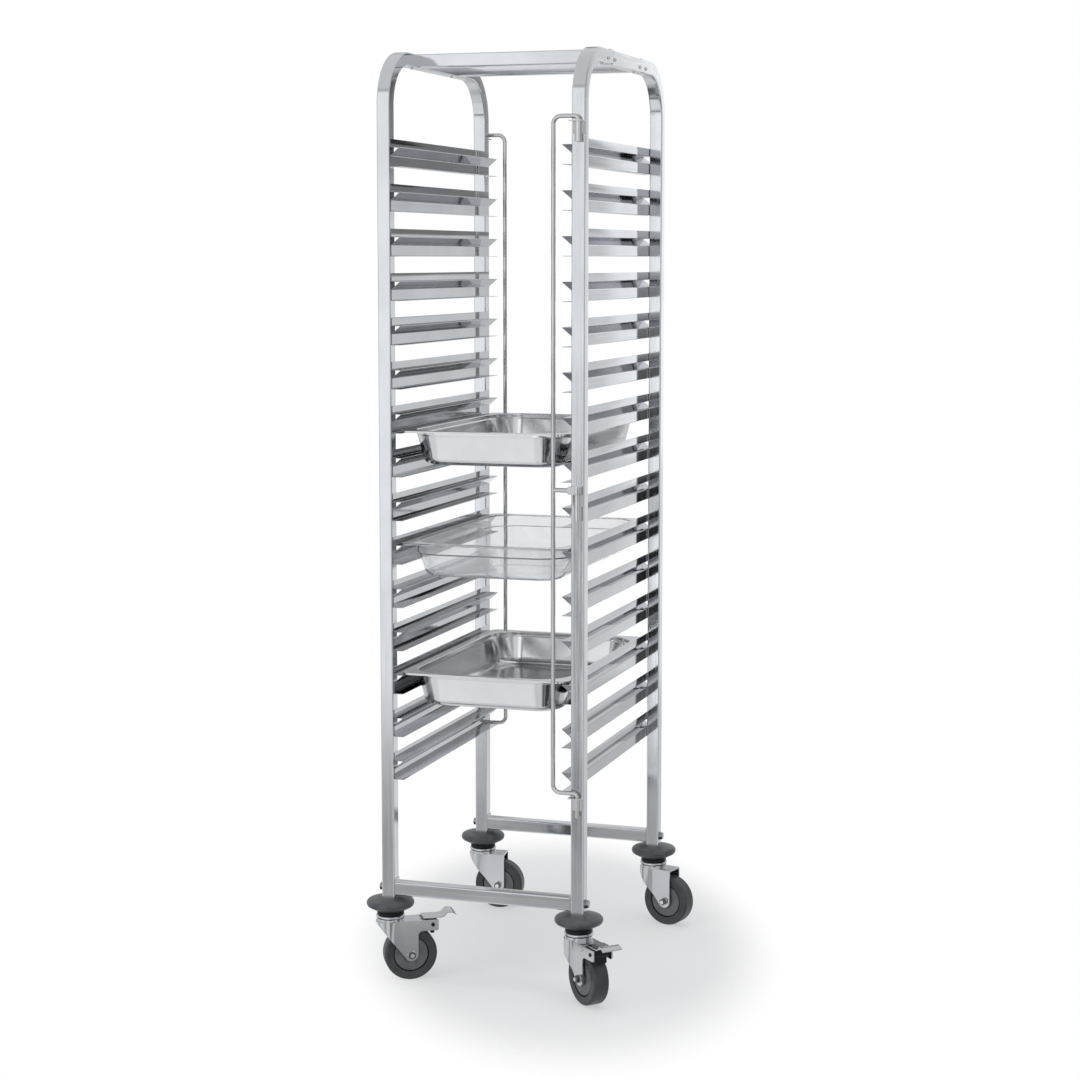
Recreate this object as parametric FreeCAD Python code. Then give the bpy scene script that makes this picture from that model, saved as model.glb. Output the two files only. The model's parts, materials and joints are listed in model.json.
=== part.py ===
"""Gastronorm tray trolley: a bolted frame of square steel tube on four swivel casters, with
fifteen pairs of folded pan runners, three pans, and a swinging bar at each end that keeps the
pans in.

X runs across the width with +X to the right seen from the front, Y along the depth with the
front at -Y, and Z up. The origin is on the floor, midway between the four legs. All sizes are
in millimetres and all angles in degrees.
"""

import FreeCAD
import Part
import math
import os

# Overall frame, whose width and depth follow from the pans that it holds
overall_height = 1735.0
foot_height = 160.0
pan_side_room = 10.5
pan_end_room = 10.0

# Square frame tube
tube_side = 25.0
tube_wall = 1.2
tube_easing = 1.8
inner_easing_share = 0.5
bend_radius = 90.0

# Cross bars at the top, which stand a little proud of the side tubes
top_bar_spacing = 214.0
top_bar_rise = 1.2
bar_cap = 1.5
drain_radius = 3.0
drain_offset = 30.0
spigot_length = 35.0
spigot_wall = 1.5
spigot_clearance = 0.2

# Cross bars at the bottom, each with a plate and a weld nut at both ends
bottom_bar_rise = 6.0
end_plate = 2.0
end_plate_width = 22.0
end_plate_rise = 5.0
weld_nut_radius = 7.0
weld_nut_length = 6.0

# Button screws of the top joints
screw_spacing = 21.0
screw_drop = 17.5
screw_radius = 2.0
screw_length = 6.0
screw_head_radius = 3.8
screw_head_crown = 2.3
screw_head_height = 2.2
screw_clearance = 0.2

# Bolts of the bottom bars
bolt_radius = 4.0
bolt_clearance = 0.3
bolt_head_flats = 13.0
bolt_head_height = 5.3
bolt_reach = 7.0
washer_radius = 8.5
washer_height = 1.5

# Folded pan runners
runner_count = 15
runner_top_drop = 164.0
lowest_runner_height = 437.0
runner_end_inset = 5.0
runner_sheet = 1.0
runner_band = 15.0
runner_rest = 7.5
runner_groove = 15.0
runner_web = 20.0

# Pans of the 530 by 325 size
pan_length = 530.0
pan_width = 325.0
pan_depth = 65.0
pan_rim_corner = 18.0
pan_rim_width = 12.5
pan_corner = 60.0
pan_taper = 9.0
pan_floor_radius = 18.0
pan_seat_gap = 0.3

# Wall, turned edge and stacking shoulder of a steel pan and of a clear plastic one
steel_pan_wall = 0.8
steel_pan_edge = 4.0
steel_pan_shoulder = 12.0
steel_pan_step = 1.5
clear_pan_wall = 2.2
clear_pan_edge = 3.5
clear_pan_shoulder = 22.0
clear_pan_step = 3.0

# Runner levels that hold a pan, counted from the top
upper_pan_level_count = 7
middle_pan_level_count = 10
lower_pan_level_count = 13

# Retaining bars, bent from round rod
rod_radius = 4.0
rod_reach = 46.0
rod_bend = 14.0
pin_bend = 8.0
top_arm_drop = 130.0
middle_arm_drop = 55.5
bottom_arm_height = 388.0
top_pin_drop = 43.0
middle_pin_drop = 52.0
bottom_pin_drop = 45.0
hinge_inset = 10.0
hinge_standoff = 8.0
block_reach = 17.0
block_radius = 6.8
block_height = 14.0

# Brackets that carry the retaining bars
sleeve_radius = 6.5
sleeve_clearance = 0.08
sleeve_gap = 0.3
saddle_width = 24.0
saddle_height = 22.0
bracket_plate = 2.0
bracket_plate_width = 26.0
bracket_plate_overhang = 8.0
bracket_plate_clearance = 0.7
top_sleeve_length = 36.0
middle_sleeve_length = 48.0

# Caster, from the floor up
wheel_radius = 50.0
caster_trail = 36.5
fork_top_height = 115.0
fork_race_height = 5.0
race_gap = 0.5
race_height = 6.5
seal_height = 6.0

# Caster fork, pressed from sheet
fork_sheet = 2.5
fork_half_width = 20.5
fork_crown_radius = 28.0
fork_flare_start = 6.0
fork_flare_end = 12.0
fork_end_radius = 13.0
fork_nose_drop = 3.0
lower_race_radius = 26.0

# Brake lugs on the front forks
lug_reach = 88.5
lug_depth = 21.0
lug_fillet = 8.0
lug_corner = 4.0
rivet_radius = 2.5
rivet_head_radius = 3.6
rivet_head_height = 1.0
rivet_place = 47.5
rivet_drop = 7.0
fork_crown_reach = 56.0

# Brake pedal
pedal_pivot = 77.5
pedal_pivot_drop = 9.5
pedal_sheet = 2.0
pedal_rise = 2.0
pedal_start = 59.5
pedal_flat_end = 92.0
pedal_crest = 107.0
pedal_crest_rise = 8.0
pedal_tip = 122.0
pedal_side_gap = 0.6
pedal_tip_flare = 3.0
pedal_boss_radius = 8.0
shoe_gap = 0.3
shoe_half_width = 12.0
shoe_thickness = 7.0
shoe_back_angle = 38.0

# Wheel
tyre_width = 32.0
tyre_seat_radius = 34.0
tyre_seat_clearance = 0.1
tyre_shoulder = 5.0
tyre_face_inset = 1.5
hub_face_radius = 32.0
hub_face_inset = 2.5
hub_groove_depth = 3.5
hub_boss_radius = 9.0
side_clearance = 0.3
bearing_clearance = 0.08

# Axle bolt and nut
axle_radius = 4.0
axle_clearance = 0.1
axle_head_flats = 13.0
axle_head_height = 5.5
axle_nut_height = 6.5
axle_end = 3.0

# Kingpin, upper race, seal ring and bumper
kingpin_radius = 6.0
kingpin_head_radius = 10.0
kingpin_head_height = 5.0
kingpin_gap = 0.4
kingpin_depth = 12.0
upper_race_radius = 27.5
race_edge = 1.2
seal_radius = 25.5
bumper_radius = 45.0
bumper_edge = 5.0
bumper_seat_radius = 22.0
bumper_bow = 1.2
stem_clearance = 0.3

# Plug that the kingpin is bolted into, inside the leg
plug_height = 40.0
plug_clearance = 0.2
plug_bolt_clearance = 0.5

# One overrun serves all cuts
overrun = 5.0

# Flat steps that stand for a quarter turn of a moulded edge
round_steps = 3

# Where each caster points at rest, as the direction of its wheel from its stem
caster_heading_angles = {
    "front_left": 31.0,
    "front_right": -43.5,
    "rear_left": 6.0,
    "rear_right": -15.5,
}

# Worked out from the above
overall_width = pan_width + 2 * (pan_side_room + tube_side)
overall_depth = pan_length + 2 * pan_end_room
half_width = overall_width / 2
half_depth = overall_depth / 2
leg_x = half_width - tube_side / 2
leg_y = half_depth - tube_side / 2
inner_x = half_width - tube_side
side_tube_z = overall_height - top_bar_rise - tube_side / 2
top_bar_y = top_bar_spacing / 2
top_bar_z = overall_height - tube_side / 2
bottom_bar_z = foot_height + bottom_bar_rise + tube_side / 2
screw_z = overall_height - screw_drop
runner_top_height = overall_height - runner_top_drop
runner_pitch = (runner_top_height - lowest_runner_height) / (runner_count - 1)
runner_shelf = pan_side_room + runner_rest
top_arm_height = overall_height - top_arm_drop
middle_arm_height = (top_arm_height + bottom_arm_height) / 2 - middle_arm_drop
hinge_x = half_width - hinge_inset
hinge_y = -(half_depth + hinge_standoff)
fork_inner = fork_half_width - fork_sheet
race_bottom = fork_top_height + fork_race_height + race_gap
seal_bottom = race_bottom + race_height
bumper_bottom = seal_bottom + seal_height

X_AXIS = FreeCAD.Vector(1, 0, 0)
Y_AXIS = FreeCAD.Vector(0, 1, 0)
Z_AXIS = FreeCAD.Vector(0, 0, 1)
ORIGIN = FreeCAD.Vector(0, 0, 0)


def point(x, y, z):
    """A point or an offset."""
    return FreeCAD.Vector(x, y, z)


def save(name, *solids):
    """Write one node, as a single solid or as a group of separate ones."""
    shape = solids[0] if len(solids) == 1 else Part.makeCompound(list(solids))
    shape.exportStep(os.path.join("parts", name + ".step"))


def united(*solids):
    """One solid from several that touch or overlap, without the seams between them."""
    return solids[0].fuse(list(solids[1:])).removeSplitter()


def cylinder(radius, start, end):
    """Round bar from one point to another."""
    along = end - start
    return Part.makeCylinder(radius, along.Length, start, along)


def box(low, high):
    """Block between two opposite corners."""
    size = high - low
    return Part.makeBox(size.x, size.y, size.z, low)


def side_sign(name):
    """+1 for a piece on the right, -1 for one on the left."""
    return 1 if name.endswith("right") else -1


def end_sign(name):
    """+1 for a piece at the rear, -1 for one at the front."""
    return 1 if name.startswith("rear") else -1


def to_corner(shape, name):
    """The rear right shape, mirrored to the corner that the name gives."""
    moved = shape
    if side_sign(name) < 0:
        moved = moved.mirror(ORIGIN, X_AXIS)
    if end_sign(name) < 0:
        moved = moved.mirror(ORIGIN, Y_AXIS)
    return moved


def rounded_rectangle(width, depth, radius, height=0.0):
    """Closed level outline with round corners, centred on the Z axis."""
    x = width / 2 - radius
    y = depth / 2 - radius
    centres = [point(x, y, height), point(-x, y, height), point(-x, -y, height), point(x, -y, height)]
    arcs = []
    for turn, centre in enumerate(centres):
        arcs.append(Part.makeCircle(radius, centre, Z_AXIS, 90 * turn, 90 * (turn + 1)))
    edges = []
    for arc, following in zip(arcs, arcs[1:] + arcs[:1]):
        edges.append(arc)
        edges.append(Part.makeLine(arc.Vertexes[-1].Point, following.Vertexes[0].Point))
    return Part.Wire(edges)


def eased_square(side, easing, height=0.0):
    """Closed level outline of a square with eased corners, centred on the Z axis."""
    far = side / 2
    near = far - easing
    corners = []
    for turn in range(4):
        quarter = FreeCAD.Rotation(Z_AXIS, 90 * turn)
        corners.append(quarter.multVec(point(far, near, height)))
        corners.append(quarter.multVec(point(near, far, height)))
    return Part.makePolygon(corners + corners[:1])


def tube_section(side, wall, easing):
    """Level face across a square tube with eased corners."""
    inside = side - 2 * wall
    outlines = [eased_square(side, easing), eased_square(inside, easing * inner_easing_share)]
    return Part.makeFace(outlines, "Part::FaceMakerBullseye")


def tube_between(section, start, end):
    """Straight tube that has the section all along."""
    face = section.copy()
    along = end - start
    face.Placement = FreeCAD.Placement(start, FreeCAD.Rotation(Z_AXIS, along))
    return face.extrude(along)


def hexagon(flats, height, base, direction):
    """Six-sided bolt head or nut, given across its flats."""
    radius = flats / math.sqrt(3)
    corners = []
    for turn in range(6):
        angle = math.radians(60 * turn)
        corners.append(point(radius * math.cos(angle), radius * math.sin(angle), 0))
    prism = Part.Face(Part.makePolygon(corners + corners[:1])).extrude(point(0, 0, height))
    prism.Placement = FreeCAD.Placement(base, FreeCAD.Rotation(Z_AXIS, direction))
    return prism


def revolved(profile):
    """Solid of revolution about Z from (radius, height) points."""
    corners = [point(radius, 0, height) for radius, height in profile]
    return Part.Face(Part.makePolygon(corners + corners[:1])).revolve(ORIGIN, Z_AXIS, 360)


def eased_corner(centre, radius, start, end, steps):
    """Points round part of a circle in equal steps, for a profile. Angles are in degrees."""
    places = []
    for i in range(steps + 1):
        angle = math.radians(start + (end - start) * i / steps)
        across = centre[0] + radius * math.cos(angle)
        places.append((across, centre[1] + radius * math.sin(angle)))
    return places


# Frame of bent and straight tube


def screw_hole(place, direction):
    """Cutter for a screw that enters the tube along the direction, through one wall."""
    inward = direction * (-overrun)
    return cylinder(screw_radius + screw_clearance, place - inward, place + inward)


def joint_screws():
    """Place and outward direction of each screw at the top joints, for the right-hand side."""
    places = []
    for y in (-top_bar_y, top_bar_y):
        for step in (-screw_spacing, screw_spacing):
            places.append((point(half_width, y + step, screw_z), X_AXIS))
        underside = side_tube_z - tube_side / 2
        places.append((point(leg_x, y - screw_spacing, underside), -Z_AXIS))
    return places


def drilled(shape):
    """The shape with the holes of the top joints cut on both sides."""
    cutters = []
    for place, direction in joint_screws():
        hole = screw_hole(place, direction)
        cutters.append(hole)
        cutters.append(hole.mirror(ORIGIN, X_AXIS))
    return shape.cut(cutters)


def upright(name):
    """Leg, top bend and stub of one corner, bent from a single tube."""
    section = tube_section(tube_side, tube_wall, tube_easing)
    bend_z = side_tube_z - bend_radius
    bend_y = leg_y - bend_radius
    section.translate(point(leg_x, leg_y, foot_height))
    leg = section.extrude(point(0, 0, bend_z - foot_height))
    section.translate(point(0, 0, bend_z - foot_height))
    centre = point(leg_x, bend_y, bend_z)
    bend = section.revolve(centre, X_AXIS, 90)
    section.rotate(centre, X_AXIS, 90)
    stub = section.extrude(point(0, top_bar_y + tube_side / 2 - bend_y, 0))
    bolt_axis = point(half_width + overrun, leg_y, bottom_bar_z)
    bolt_hole = cylinder(
        bolt_radius + bolt_clearance, bolt_axis, point(inner_x - overrun, leg_y, bottom_bar_z)
    )
    whole = united(leg, bend, stub).cut(bolt_hole)
    return drilled(to_corner(whole, name))


def side_rail(side):
    """Straight top tube between the two cross bars."""
    section = tube_section(tube_side, tube_wall, tube_easing)
    end = top_bar_y - tube_side / 2
    x = side * leg_x
    rail = tube_between(section, point(x, -end, side_tube_z), point(x, end, side_tube_z))
    return drilled(rail)


def spigot(side, start, end):
    """Short inner tube that the side tubes slide on to."""
    outside = tube_side - 2 * tube_wall - 2 * spigot_clearance
    section = tube_section(outside, spigot_wall, tube_easing)
    x = side * leg_x
    return tube_between(section, point(x, start, side_tube_z), point(x, end, side_tube_z))


def top_cross_bar(end):
    """Capped tube across the top, and the two spigots at each of its ends."""
    y = end * top_bar_y
    section = tube_section(tube_side, tube_wall, tube_easing)
    reach = half_width - bar_cap
    bar = tube_between(section, point(-reach, y, top_bar_z), point(reach, y, top_bar_z))
    cap_face = Part.Face(eased_square(tube_side, tube_easing))
    pieces = [bar]
    spigots = []
    for side in (-1, 1):
        inside = point(side * reach, y, top_bar_z)
        outside = point(side * half_width, y, top_bar_z)
        pieces.append(tube_between(cap_face, inside, outside))
        for step in (-1, 1):
            root = y + step * tube_side / 2
            spigots.append(drilled(spigot(side, root, root + step * spigot_length)))
    drain_top = point(-drain_offset, y, top_bar_z)
    drain = cylinder(drain_radius, drain_top, drain_top - point(0, 0, tube_side))
    return [drilled(united(*pieces).cut(drain)), *spigots]


def bottom_cross_bar(end):
    """Tube between the legs, closed by a drilled plate with a weld nut at each end."""
    y = end * leg_y
    section = tube_section(tube_side, tube_wall, tube_easing)
    reach = inner_x - end_plate
    start = point(-reach, y, bottom_bar_z)
    pieces = [tube_between(section, start, point(reach, y, bottom_bar_z))]
    cutters = []
    for side in (-1, 1):
        low_x = min(side * reach, side * inner_x)
        low = point(low_x, y - end_plate_width / 2, bottom_bar_z - tube_side / 2)
        high = low + point(end_plate, end_plate_width, tube_side + end_plate_rise)
        pieces.append(box(low, high))
        face = point(side * reach, y, bottom_bar_z)
        nut_end = face - point(side * weld_nut_length, 0, 0)
        pieces.append(cylinder(weld_nut_radius, face, nut_end))
        drill_start = face + point(side * (end_plate + overrun), 0, 0)
        drill_end = nut_end - point(side * overrun, 0, 0)
        cutters.append(cylinder(bolt_radius + bolt_clearance, drill_start, drill_end))
    return united(*pieces).cut(cutters)


def top_screws():
    """Button screws of the top joints, as one group."""
    group = []
    for place, direction in joint_screws():
        head = Part.makeCone(
            screw_head_radius, screw_head_crown, screw_head_height, place, direction
        )
        shank = cylinder(screw_radius, place, place - direction * screw_length)
        whole = united(head, shank)
        group.append(whole)
        group.append(whole.mirror(ORIGIN, X_AXIS))
    return group


def bottom_bolts():
    """Hexagon bolts through the legs into the bottom bars, as one group."""
    group = []
    for end in (-1, 1):
        face = point(half_width, end * leg_y, bottom_bar_z)
        seat = face + point(washer_height, 0, 0)
        tip = point(inner_x - end_plate - bolt_reach, end * leg_y, bottom_bar_z)
        washer = cylinder(washer_radius, face, seat)
        head = hexagon(bolt_head_flats, bolt_head_height, seat, X_AXIS)
        whole = united(washer, head, cylinder(bolt_radius, tip, seat))
        group.append(whole)
        group.append(whole.mirror(ORIGIN, X_AXIS))
    return group


# Pan runners


def folded_sheet(middle_line, sheet):
    """Outline of a folded sheet from its middle line, mitred at each fold."""
    left = []
    right = []
    last = len(middle_line) - 1
    for i, (u, v) in enumerate(middle_line):
        before = middle_line[max(i - 1, 0)]
        after = middle_line[min(i + 1, last)]
        first = math.atan2(v - before[1], u - before[0]) if i > 0 else None
        second = math.atan2(after[1] - v, after[0] - u) if i < last else None
        first = second if first is None else first
        second = first if second is None else second
        half_turn = math.remainder(second - first, 2 * math.pi) / 2
        normal = first + half_turn + math.pi / 2
        reach = sheet / 2 / math.cos(half_turn)
        left.append((u + reach * math.cos(normal), v + reach * math.sin(normal)))
        right.append((u - reach * math.cos(normal), v - reach * math.sin(normal)))
    return left + right[::-1]


def runner_line():
    """Middle line of the runner from its top: the band against the leg, the shelf, the sloping
    underside that makes the groove, the web and the ledge. The first number is the distance
    in from the leg, the second the height from the runner's top."""
    web = runner_sheet / 2
    shelf = web + runner_shelf
    heights = [0, -runner_band]
    heights.append(heights[-1] - runner_groove)
    heights.append(heights[-1] - runner_web)
    return [
        (web, heights[0]),
        (web, heights[1]),
        (shelf, heights[1]),
        (web, heights[2]),
        (web, heights[3]),
        (shelf, heights[3]),
    ]


def runner_pair(level):
    """Left and right runner of one level, counted from 1 at the top."""
    top = runner_top_height - (level - 1) * runner_pitch
    start = -(half_depth - runner_end_inset)
    corners = []
    for u, v in folded_sheet(runner_line(), runner_sheet):
        corners.append(point(inner_x - u, start, top + v))
    outline = Part.Face(Part.makePolygon(corners + corners[:1]))
    right = outline.extrude(point(0, -2 * start, 0))
    return [right.mirror(ORIGIN, X_AXIS), right]


def shelf_height(level):
    """Top face of a level's upper shelf."""
    top = runner_top_height - (level - 1) * runner_pitch
    return top - runner_band + runner_sheet / 2


def ledge_height(level):
    """Top face of a level's lower ledge."""
    return shelf_height(level) - runner_groove - runner_web


# Pans


def pan_volume(inset, depth, shoulder, step, top):
    """The volume within a pan's wall at an inset: a shoulder section, and below it a narrower
    tapered one with a round floor edge. The rim's top face is at height 0."""
    width = pan_width - 2 * (pan_rim_width + inset)
    length = pan_length - 2 * (pan_rim_width + inset)
    corner = pan_corner - inset
    upper = Part.Face(rounded_rectangle(width, length, corner, -shoulder))
    upper = upper.extrude(point(0, 0, top + shoulder))
    narrow = 2 * step
    taper = 2 * pan_taper
    waist = rounded_rectangle(width - narrow, length - narrow, corner - step, -shoulder)
    floor = rounded_rectangle(
        width - narrow - taper, length - narrow - taper, corner - step - pan_taper, -depth
    )
    lower = Part.makeLoft([waist, floor], True, True)
    floor_edges = [e for e in lower.Edges if e.BoundBox.ZMax < -shoulder]
    lower = lower.makeFillet(pan_floor_radius - inset, floor_edges)
    return united(upper, lower)


def pan(seat_height, wall, edge, shoulder, step):
    """Open pan whose turned edge hangs just above the runner at the seat height."""
    rim = Part.Face(rounded_rectangle(pan_width, pan_length, pan_rim_corner))
    flange = rim.extrude(point(0, 0, -wall))
    skirt = rim.extrude(point(0, 0, -edge))
    within = rounded_rectangle(
        pan_width - 2 * wall, pan_length - 2 * wall, pan_rim_corner - wall, -edge - overrun
    )
    skirt = skirt.cut(Part.Face(within).extrude(point(0, 0, edge + 2 * overrun)))
    body = pan_volume(0.0, pan_depth, shoulder, step, 0.0)
    hollow = pan_volume(wall, pan_depth - wall, shoulder - wall, step, overrun)
    whole = united(flange, skirt, body).cut(hollow)
    whole.translate(point(0, 0, seat_height + pan_seat_gap + edge))
    return whole


# Retaining bars and their brackets


def rod_along(corners, radii):
    """Round rod along straight runs joined by tangent bends."""
    edges = []
    start = corners[0]
    for i, radius in enumerate(radii, start=1):
        corner = corners[i]
        back = (corners[i - 1] - corner).normalize() * radius
        ahead = (corners[i + 1] - corner).normalize() * radius
        middle = corner + (back + ahead) * (1 - math.sqrt(0.5))
        edges.append(Part.makeLine(start, corner + back))
        edges.append(Part.Arc(corner + back, middle, corner + ahead).toShape())
        start = corner + ahead
    edges.append(Part.makeLine(start, corners[-1]))
    circle = Part.makeCircle(rod_radius, corners[0], corners[1] - corners[0])
    return Part.Wire(edges).makePipeShell([Part.Wire(circle)], True, False)


def retaining_bar():
    """Front bar: a long rod whose three arms turn down into the hinge sleeves."""
    rod_x = hinge_x - rod_reach
    top_pin = top_arm_height - top_pin_drop
    bottom_pin = bottom_arm_height - bottom_pin_drop
    corners = [
        point(hinge_x, hinge_y, top_pin),
        point(hinge_x, hinge_y, top_arm_height),
        point(rod_x, hinge_y, top_arm_height),
        point(rod_x, hinge_y, bottom_arm_height),
        point(hinge_x, hinge_y, bottom_arm_height),
        point(hinge_x, hinge_y, bottom_pin),
    ]
    rod = rod_along(corners, [pin_bend, rod_bend, rod_bend, pin_bend])
    arm_start = point(rod_x, hinge_y, middle_arm_height)
    axis = point(hinge_x, hinge_y, middle_arm_height)
    arm = cylinder(rod_radius, arm_start, axis)
    half_block = point(0, 0, block_height / 2)
    boss = cylinder(block_radius, axis - half_block, axis + half_block)
    low = axis - half_block - point(block_reach, block_radius, 0)
    block = box(low, axis + half_block + point(0, block_radius, 0))
    pin = cylinder(rod_radius, axis - point(0, 0, middle_pin_drop), axis)
    return united(rod, arm, boss, block, pin)


def sleeve_bracket(top, length, saddle_top, plate_top):
    """Sleeve on the leg's front face, held by a tapered saddle, with a plate over it if it
    has one. Heights are those of the sleeve's top, the saddle's top and the plate's top."""
    axis_top = point(hinge_x, hinge_y, top)
    sleeve = cylinder(sleeve_radius, axis_top - point(0, 0, length), axis_top)
    half = saddle_width / 2
    corners = [
        point(hinge_x - half, -half_depth, saddle_top),
        point(hinge_x - sleeve_radius, hinge_y, saddle_top),
        point(hinge_x + sleeve_radius, hinge_y, saddle_top),
        point(min(hinge_x + half, half_width), -half_depth, saddle_top),
    ]
    saddle = Part.Face(Part.makePolygon(corners + corners[:1]))
    pieces = [sleeve, saddle.extrude(point(0, 0, -saddle_height))]
    bore = cylinder(
        rod_radius + sleeve_clearance,
        axis_top - point(0, 0, length + overrun),
        axis_top + point(0, 0, overrun),
    )
    cutters = [bore]
    if plate_top is not None:
        right = half_width
        low = point(right - bracket_plate_width, hinge_y - bracket_plate_overhang, plate_top)
        low = low - point(0, 0, bracket_plate)
        pieces.append(box(low, point(right, -half_depth, plate_top)))
        eye_low = point(hinge_x, hinge_y, plate_top - bracket_plate)
        eye_high = point(hinge_x, hinge_y, plate_top + overrun)
        cutters.append(cylinder(rod_radius + bracket_plate_clearance, eye_low, eye_high))
    return united(*pieces).cut(cutters)


def bar_brackets():
    """The three brackets of the front bar, as separate solids."""
    top_plate = top_arm_height - pin_bend + bracket_plate_clearance
    bottom_plate = bottom_arm_height - pin_bend + bracket_plate_clearance
    block_bottom = middle_arm_height - block_height / 2
    middle_top = block_bottom - sleeve_gap
    top_seat = top_plate - bracket_plate
    bottom_seat = bottom_plate - bracket_plate
    return [
        sleeve_bracket(top_seat, top_sleeve_length, top_seat, top_plate),
        sleeve_bracket(middle_top, middle_sleeve_length, middle_top, None),
        sleeve_bracket(bottom_seat, saddle_height, bottom_seat, bottom_plate),
    ]


def turned_to_rear(shape):
    """The front piece, turned half round the trolley's middle to the opposite corner."""
    moved = shape.copy()
    moved.rotate(ORIGIN, Z_AXIS, 180)
    return moved


# Casters, modelled with the stem on the Z axis and the wheel towards +X


def tangent_angle(start, centre, radius):
    """Angle about the centre at which a line from the start touches the circle from below."""
    across = math.hypot(start[0] - centre[0], start[1] - centre[1])
    towards = math.atan2(start[1] - centre[1], start[0] - centre[0])
    return towards + math.acos(radius / across)


def on_circle(centre, radius, angle):
    """Point of a circle in the upright plane, as (along, height)."""
    return (centre[0] + radius * math.cos(angle), centre[1] + radius * math.sin(angle))


def upright_point(place, y=0.0):
    """Space point from (along, height)."""
    return point(place[0], y, place[1])


def fork_side(braked):
    """Outline of the fork's cheek seen from the side, with the brake lug if it has one."""
    centre = (caster_trail, wheel_radius)
    nose = (-fork_crown_radius, fork_top_height - fork_nose_drop)
    touch = tangent_angle(nose, centre, fork_end_radius)
    lead = on_circle(centre, fork_end_radius, touch)
    below = on_circle(centre, fork_end_radius, (touch + 2 * math.pi) / 2)
    trail_x = caster_trail + fork_end_radius
    top = fork_top_height + overrun
    edges = [
        Part.makeLine(point(nose[0] - overrun, 0, top), point(nose[0] - overrun, 0, nose[1])),
        Part.makeLine(point(nose[0] - overrun, 0, nose[1]), upright_point(nose)),
        Part.makeLine(upright_point(nose), upright_point(lead)),
        Part.Arc(
            upright_point(lead), upright_point(below), point(trail_x, 0, wheel_radius)
        ).toShape(),
    ]
    if braked:
        edges += lug_edges(trail_x, top)
        end_x = lug_reach
    else:
        edges.append(
            Part.makeLine(point(trail_x, 0, wheel_radius), point(trail_x, 0, top))
        )
        end_x = trail_x
    edges.append(Part.makeLine(point(end_x, 0, top), point(nose[0] - overrun, 0, top)))
    return Part.Face(Part.Wire(edges))


def lug_edges(trail_x, top):
    """The trailing edge of a braked fork's cheek, with the lug that carries the pedal."""
    under = fork_top_height - lug_depth
    fillet_centre = (trail_x + lug_fillet, under - lug_fillet)
    corner_centre = (lug_reach - lug_corner, under + lug_corner)
    start = (trail_x, under - lug_fillet)
    inner = on_circle(fillet_centre, lug_fillet, math.radians(135))
    joined = (trail_x + lug_fillet, under)
    turn = (lug_reach - lug_corner, under)
    outer = on_circle(corner_centre, lug_corner, math.radians(-45))
    end = (lug_reach, under + lug_corner)
    return [
        Part.makeLine(point(trail_x, 0, wheel_radius), upright_point(start)),
        Part.Arc(upright_point(start), upright_point(inner), upright_point(joined)).toShape(),
        Part.makeLine(upright_point(joined), upright_point(turn)),
        Part.Arc(upright_point(turn), upright_point(outer), upright_point(end)).toShape(),
        Part.makeLine(upright_point(end), point(lug_reach, 0, top)),
    ]


def fork_plan(inset, end_x, height):
    """Level outline of the fork: round at the nose, flaring in to the two cheeks."""
    radius = fork_crown_radius - inset
    side = fork_half_width - inset
    start_x = -fork_flare_start
    start_y = math.sqrt(radius**2 - start_x**2)
    corners = [
        point(start_x, -start_y, height),
        point(fork_flare_end, -side, height),
        point(end_x, -side, height),
        point(end_x, side, height),
        point(fork_flare_end, side, height),
        point(start_x, start_y, height),
    ]
    nose = Part.Arc(corners[-1], point(-radius, 0, height), corners[0]).toShape()
    return Part.Face(Part.Wire([*Part.makePolygon(corners).Edges, nose]))


def rivet(along, height):
    """Headed pin across the fork."""
    half = fork_half_width + side_clearance
    pin = cylinder(rivet_radius, point(along, -half, height), point(along, half, height))
    heads = []
    for side in (-1, 1):
        inside = point(along, side * half, height)
        outside = point(along, side * (half + rivet_head_height), height)
        heads.append(cylinder(rivet_head_radius, inside, outside))
    return united(pin, *heads)


def fork(braked):
    """Pressed fork with the lower race on its crown."""
    end_x = lug_reach if braked else caster_trail + fork_end_radius
    floor = 0.0
    shell = fork_plan(0.0, end_x, floor).extrude(point(0, 0, fork_top_height))
    hollow = fork_plan(fork_sheet, end_x + overrun, floor - overrun)
    hollow = hollow.extrude(point(0, 0, fork_top_height - fork_sheet + overrun))
    shell = shell.cut(hollow)
    reach = 2 * fork_crown_radius
    side = fork_side(braked)
    side.translate(point(0, -reach / 2, 0))
    shell = shell.common(side.extrude(point(0, reach, 0)))
    race_top = fork_top_height + fork_race_height
    race = cylinder(
        lower_race_radius, point(0, 0, fork_top_height), point(0, 0, race_top)
    )
    whole = united(shell, race)
    pin_hole = cylinder(
        kingpin_radius + bearing_clearance, ORIGIN, point(0, 0, race_top + overrun)
    )
    axle_hole = cylinder(
        axle_radius + axle_clearance,
        point(caster_trail, -reach, wheel_radius),
        point(caster_trail, reach, wheel_radius),
    )
    whole = whole.cut([pin_hole, axle_hole])
    return braked_fork(whole) if braked else whole


def braked_fork(whole):
    """The fork with its top opened over the pedal, the pivot hole and the fixed rivet."""
    inner = fork_inner
    top = fork_top_height
    window = box(
        point(fork_crown_reach, -inner, top - fork_sheet - overrun),
        point(lug_reach + overrun, inner, top + overrun),
    )
    pivot_z = top - pedal_pivot_drop
    pivot_hole = cylinder(
        rivet_radius + bearing_clearance,
        point(pedal_pivot, -2 * fork_half_width, pivot_z),
        point(pedal_pivot, 2 * fork_half_width, pivot_z),
    )
    return united(whole.cut([window, pivot_hole]), fixed_rivet())


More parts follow.
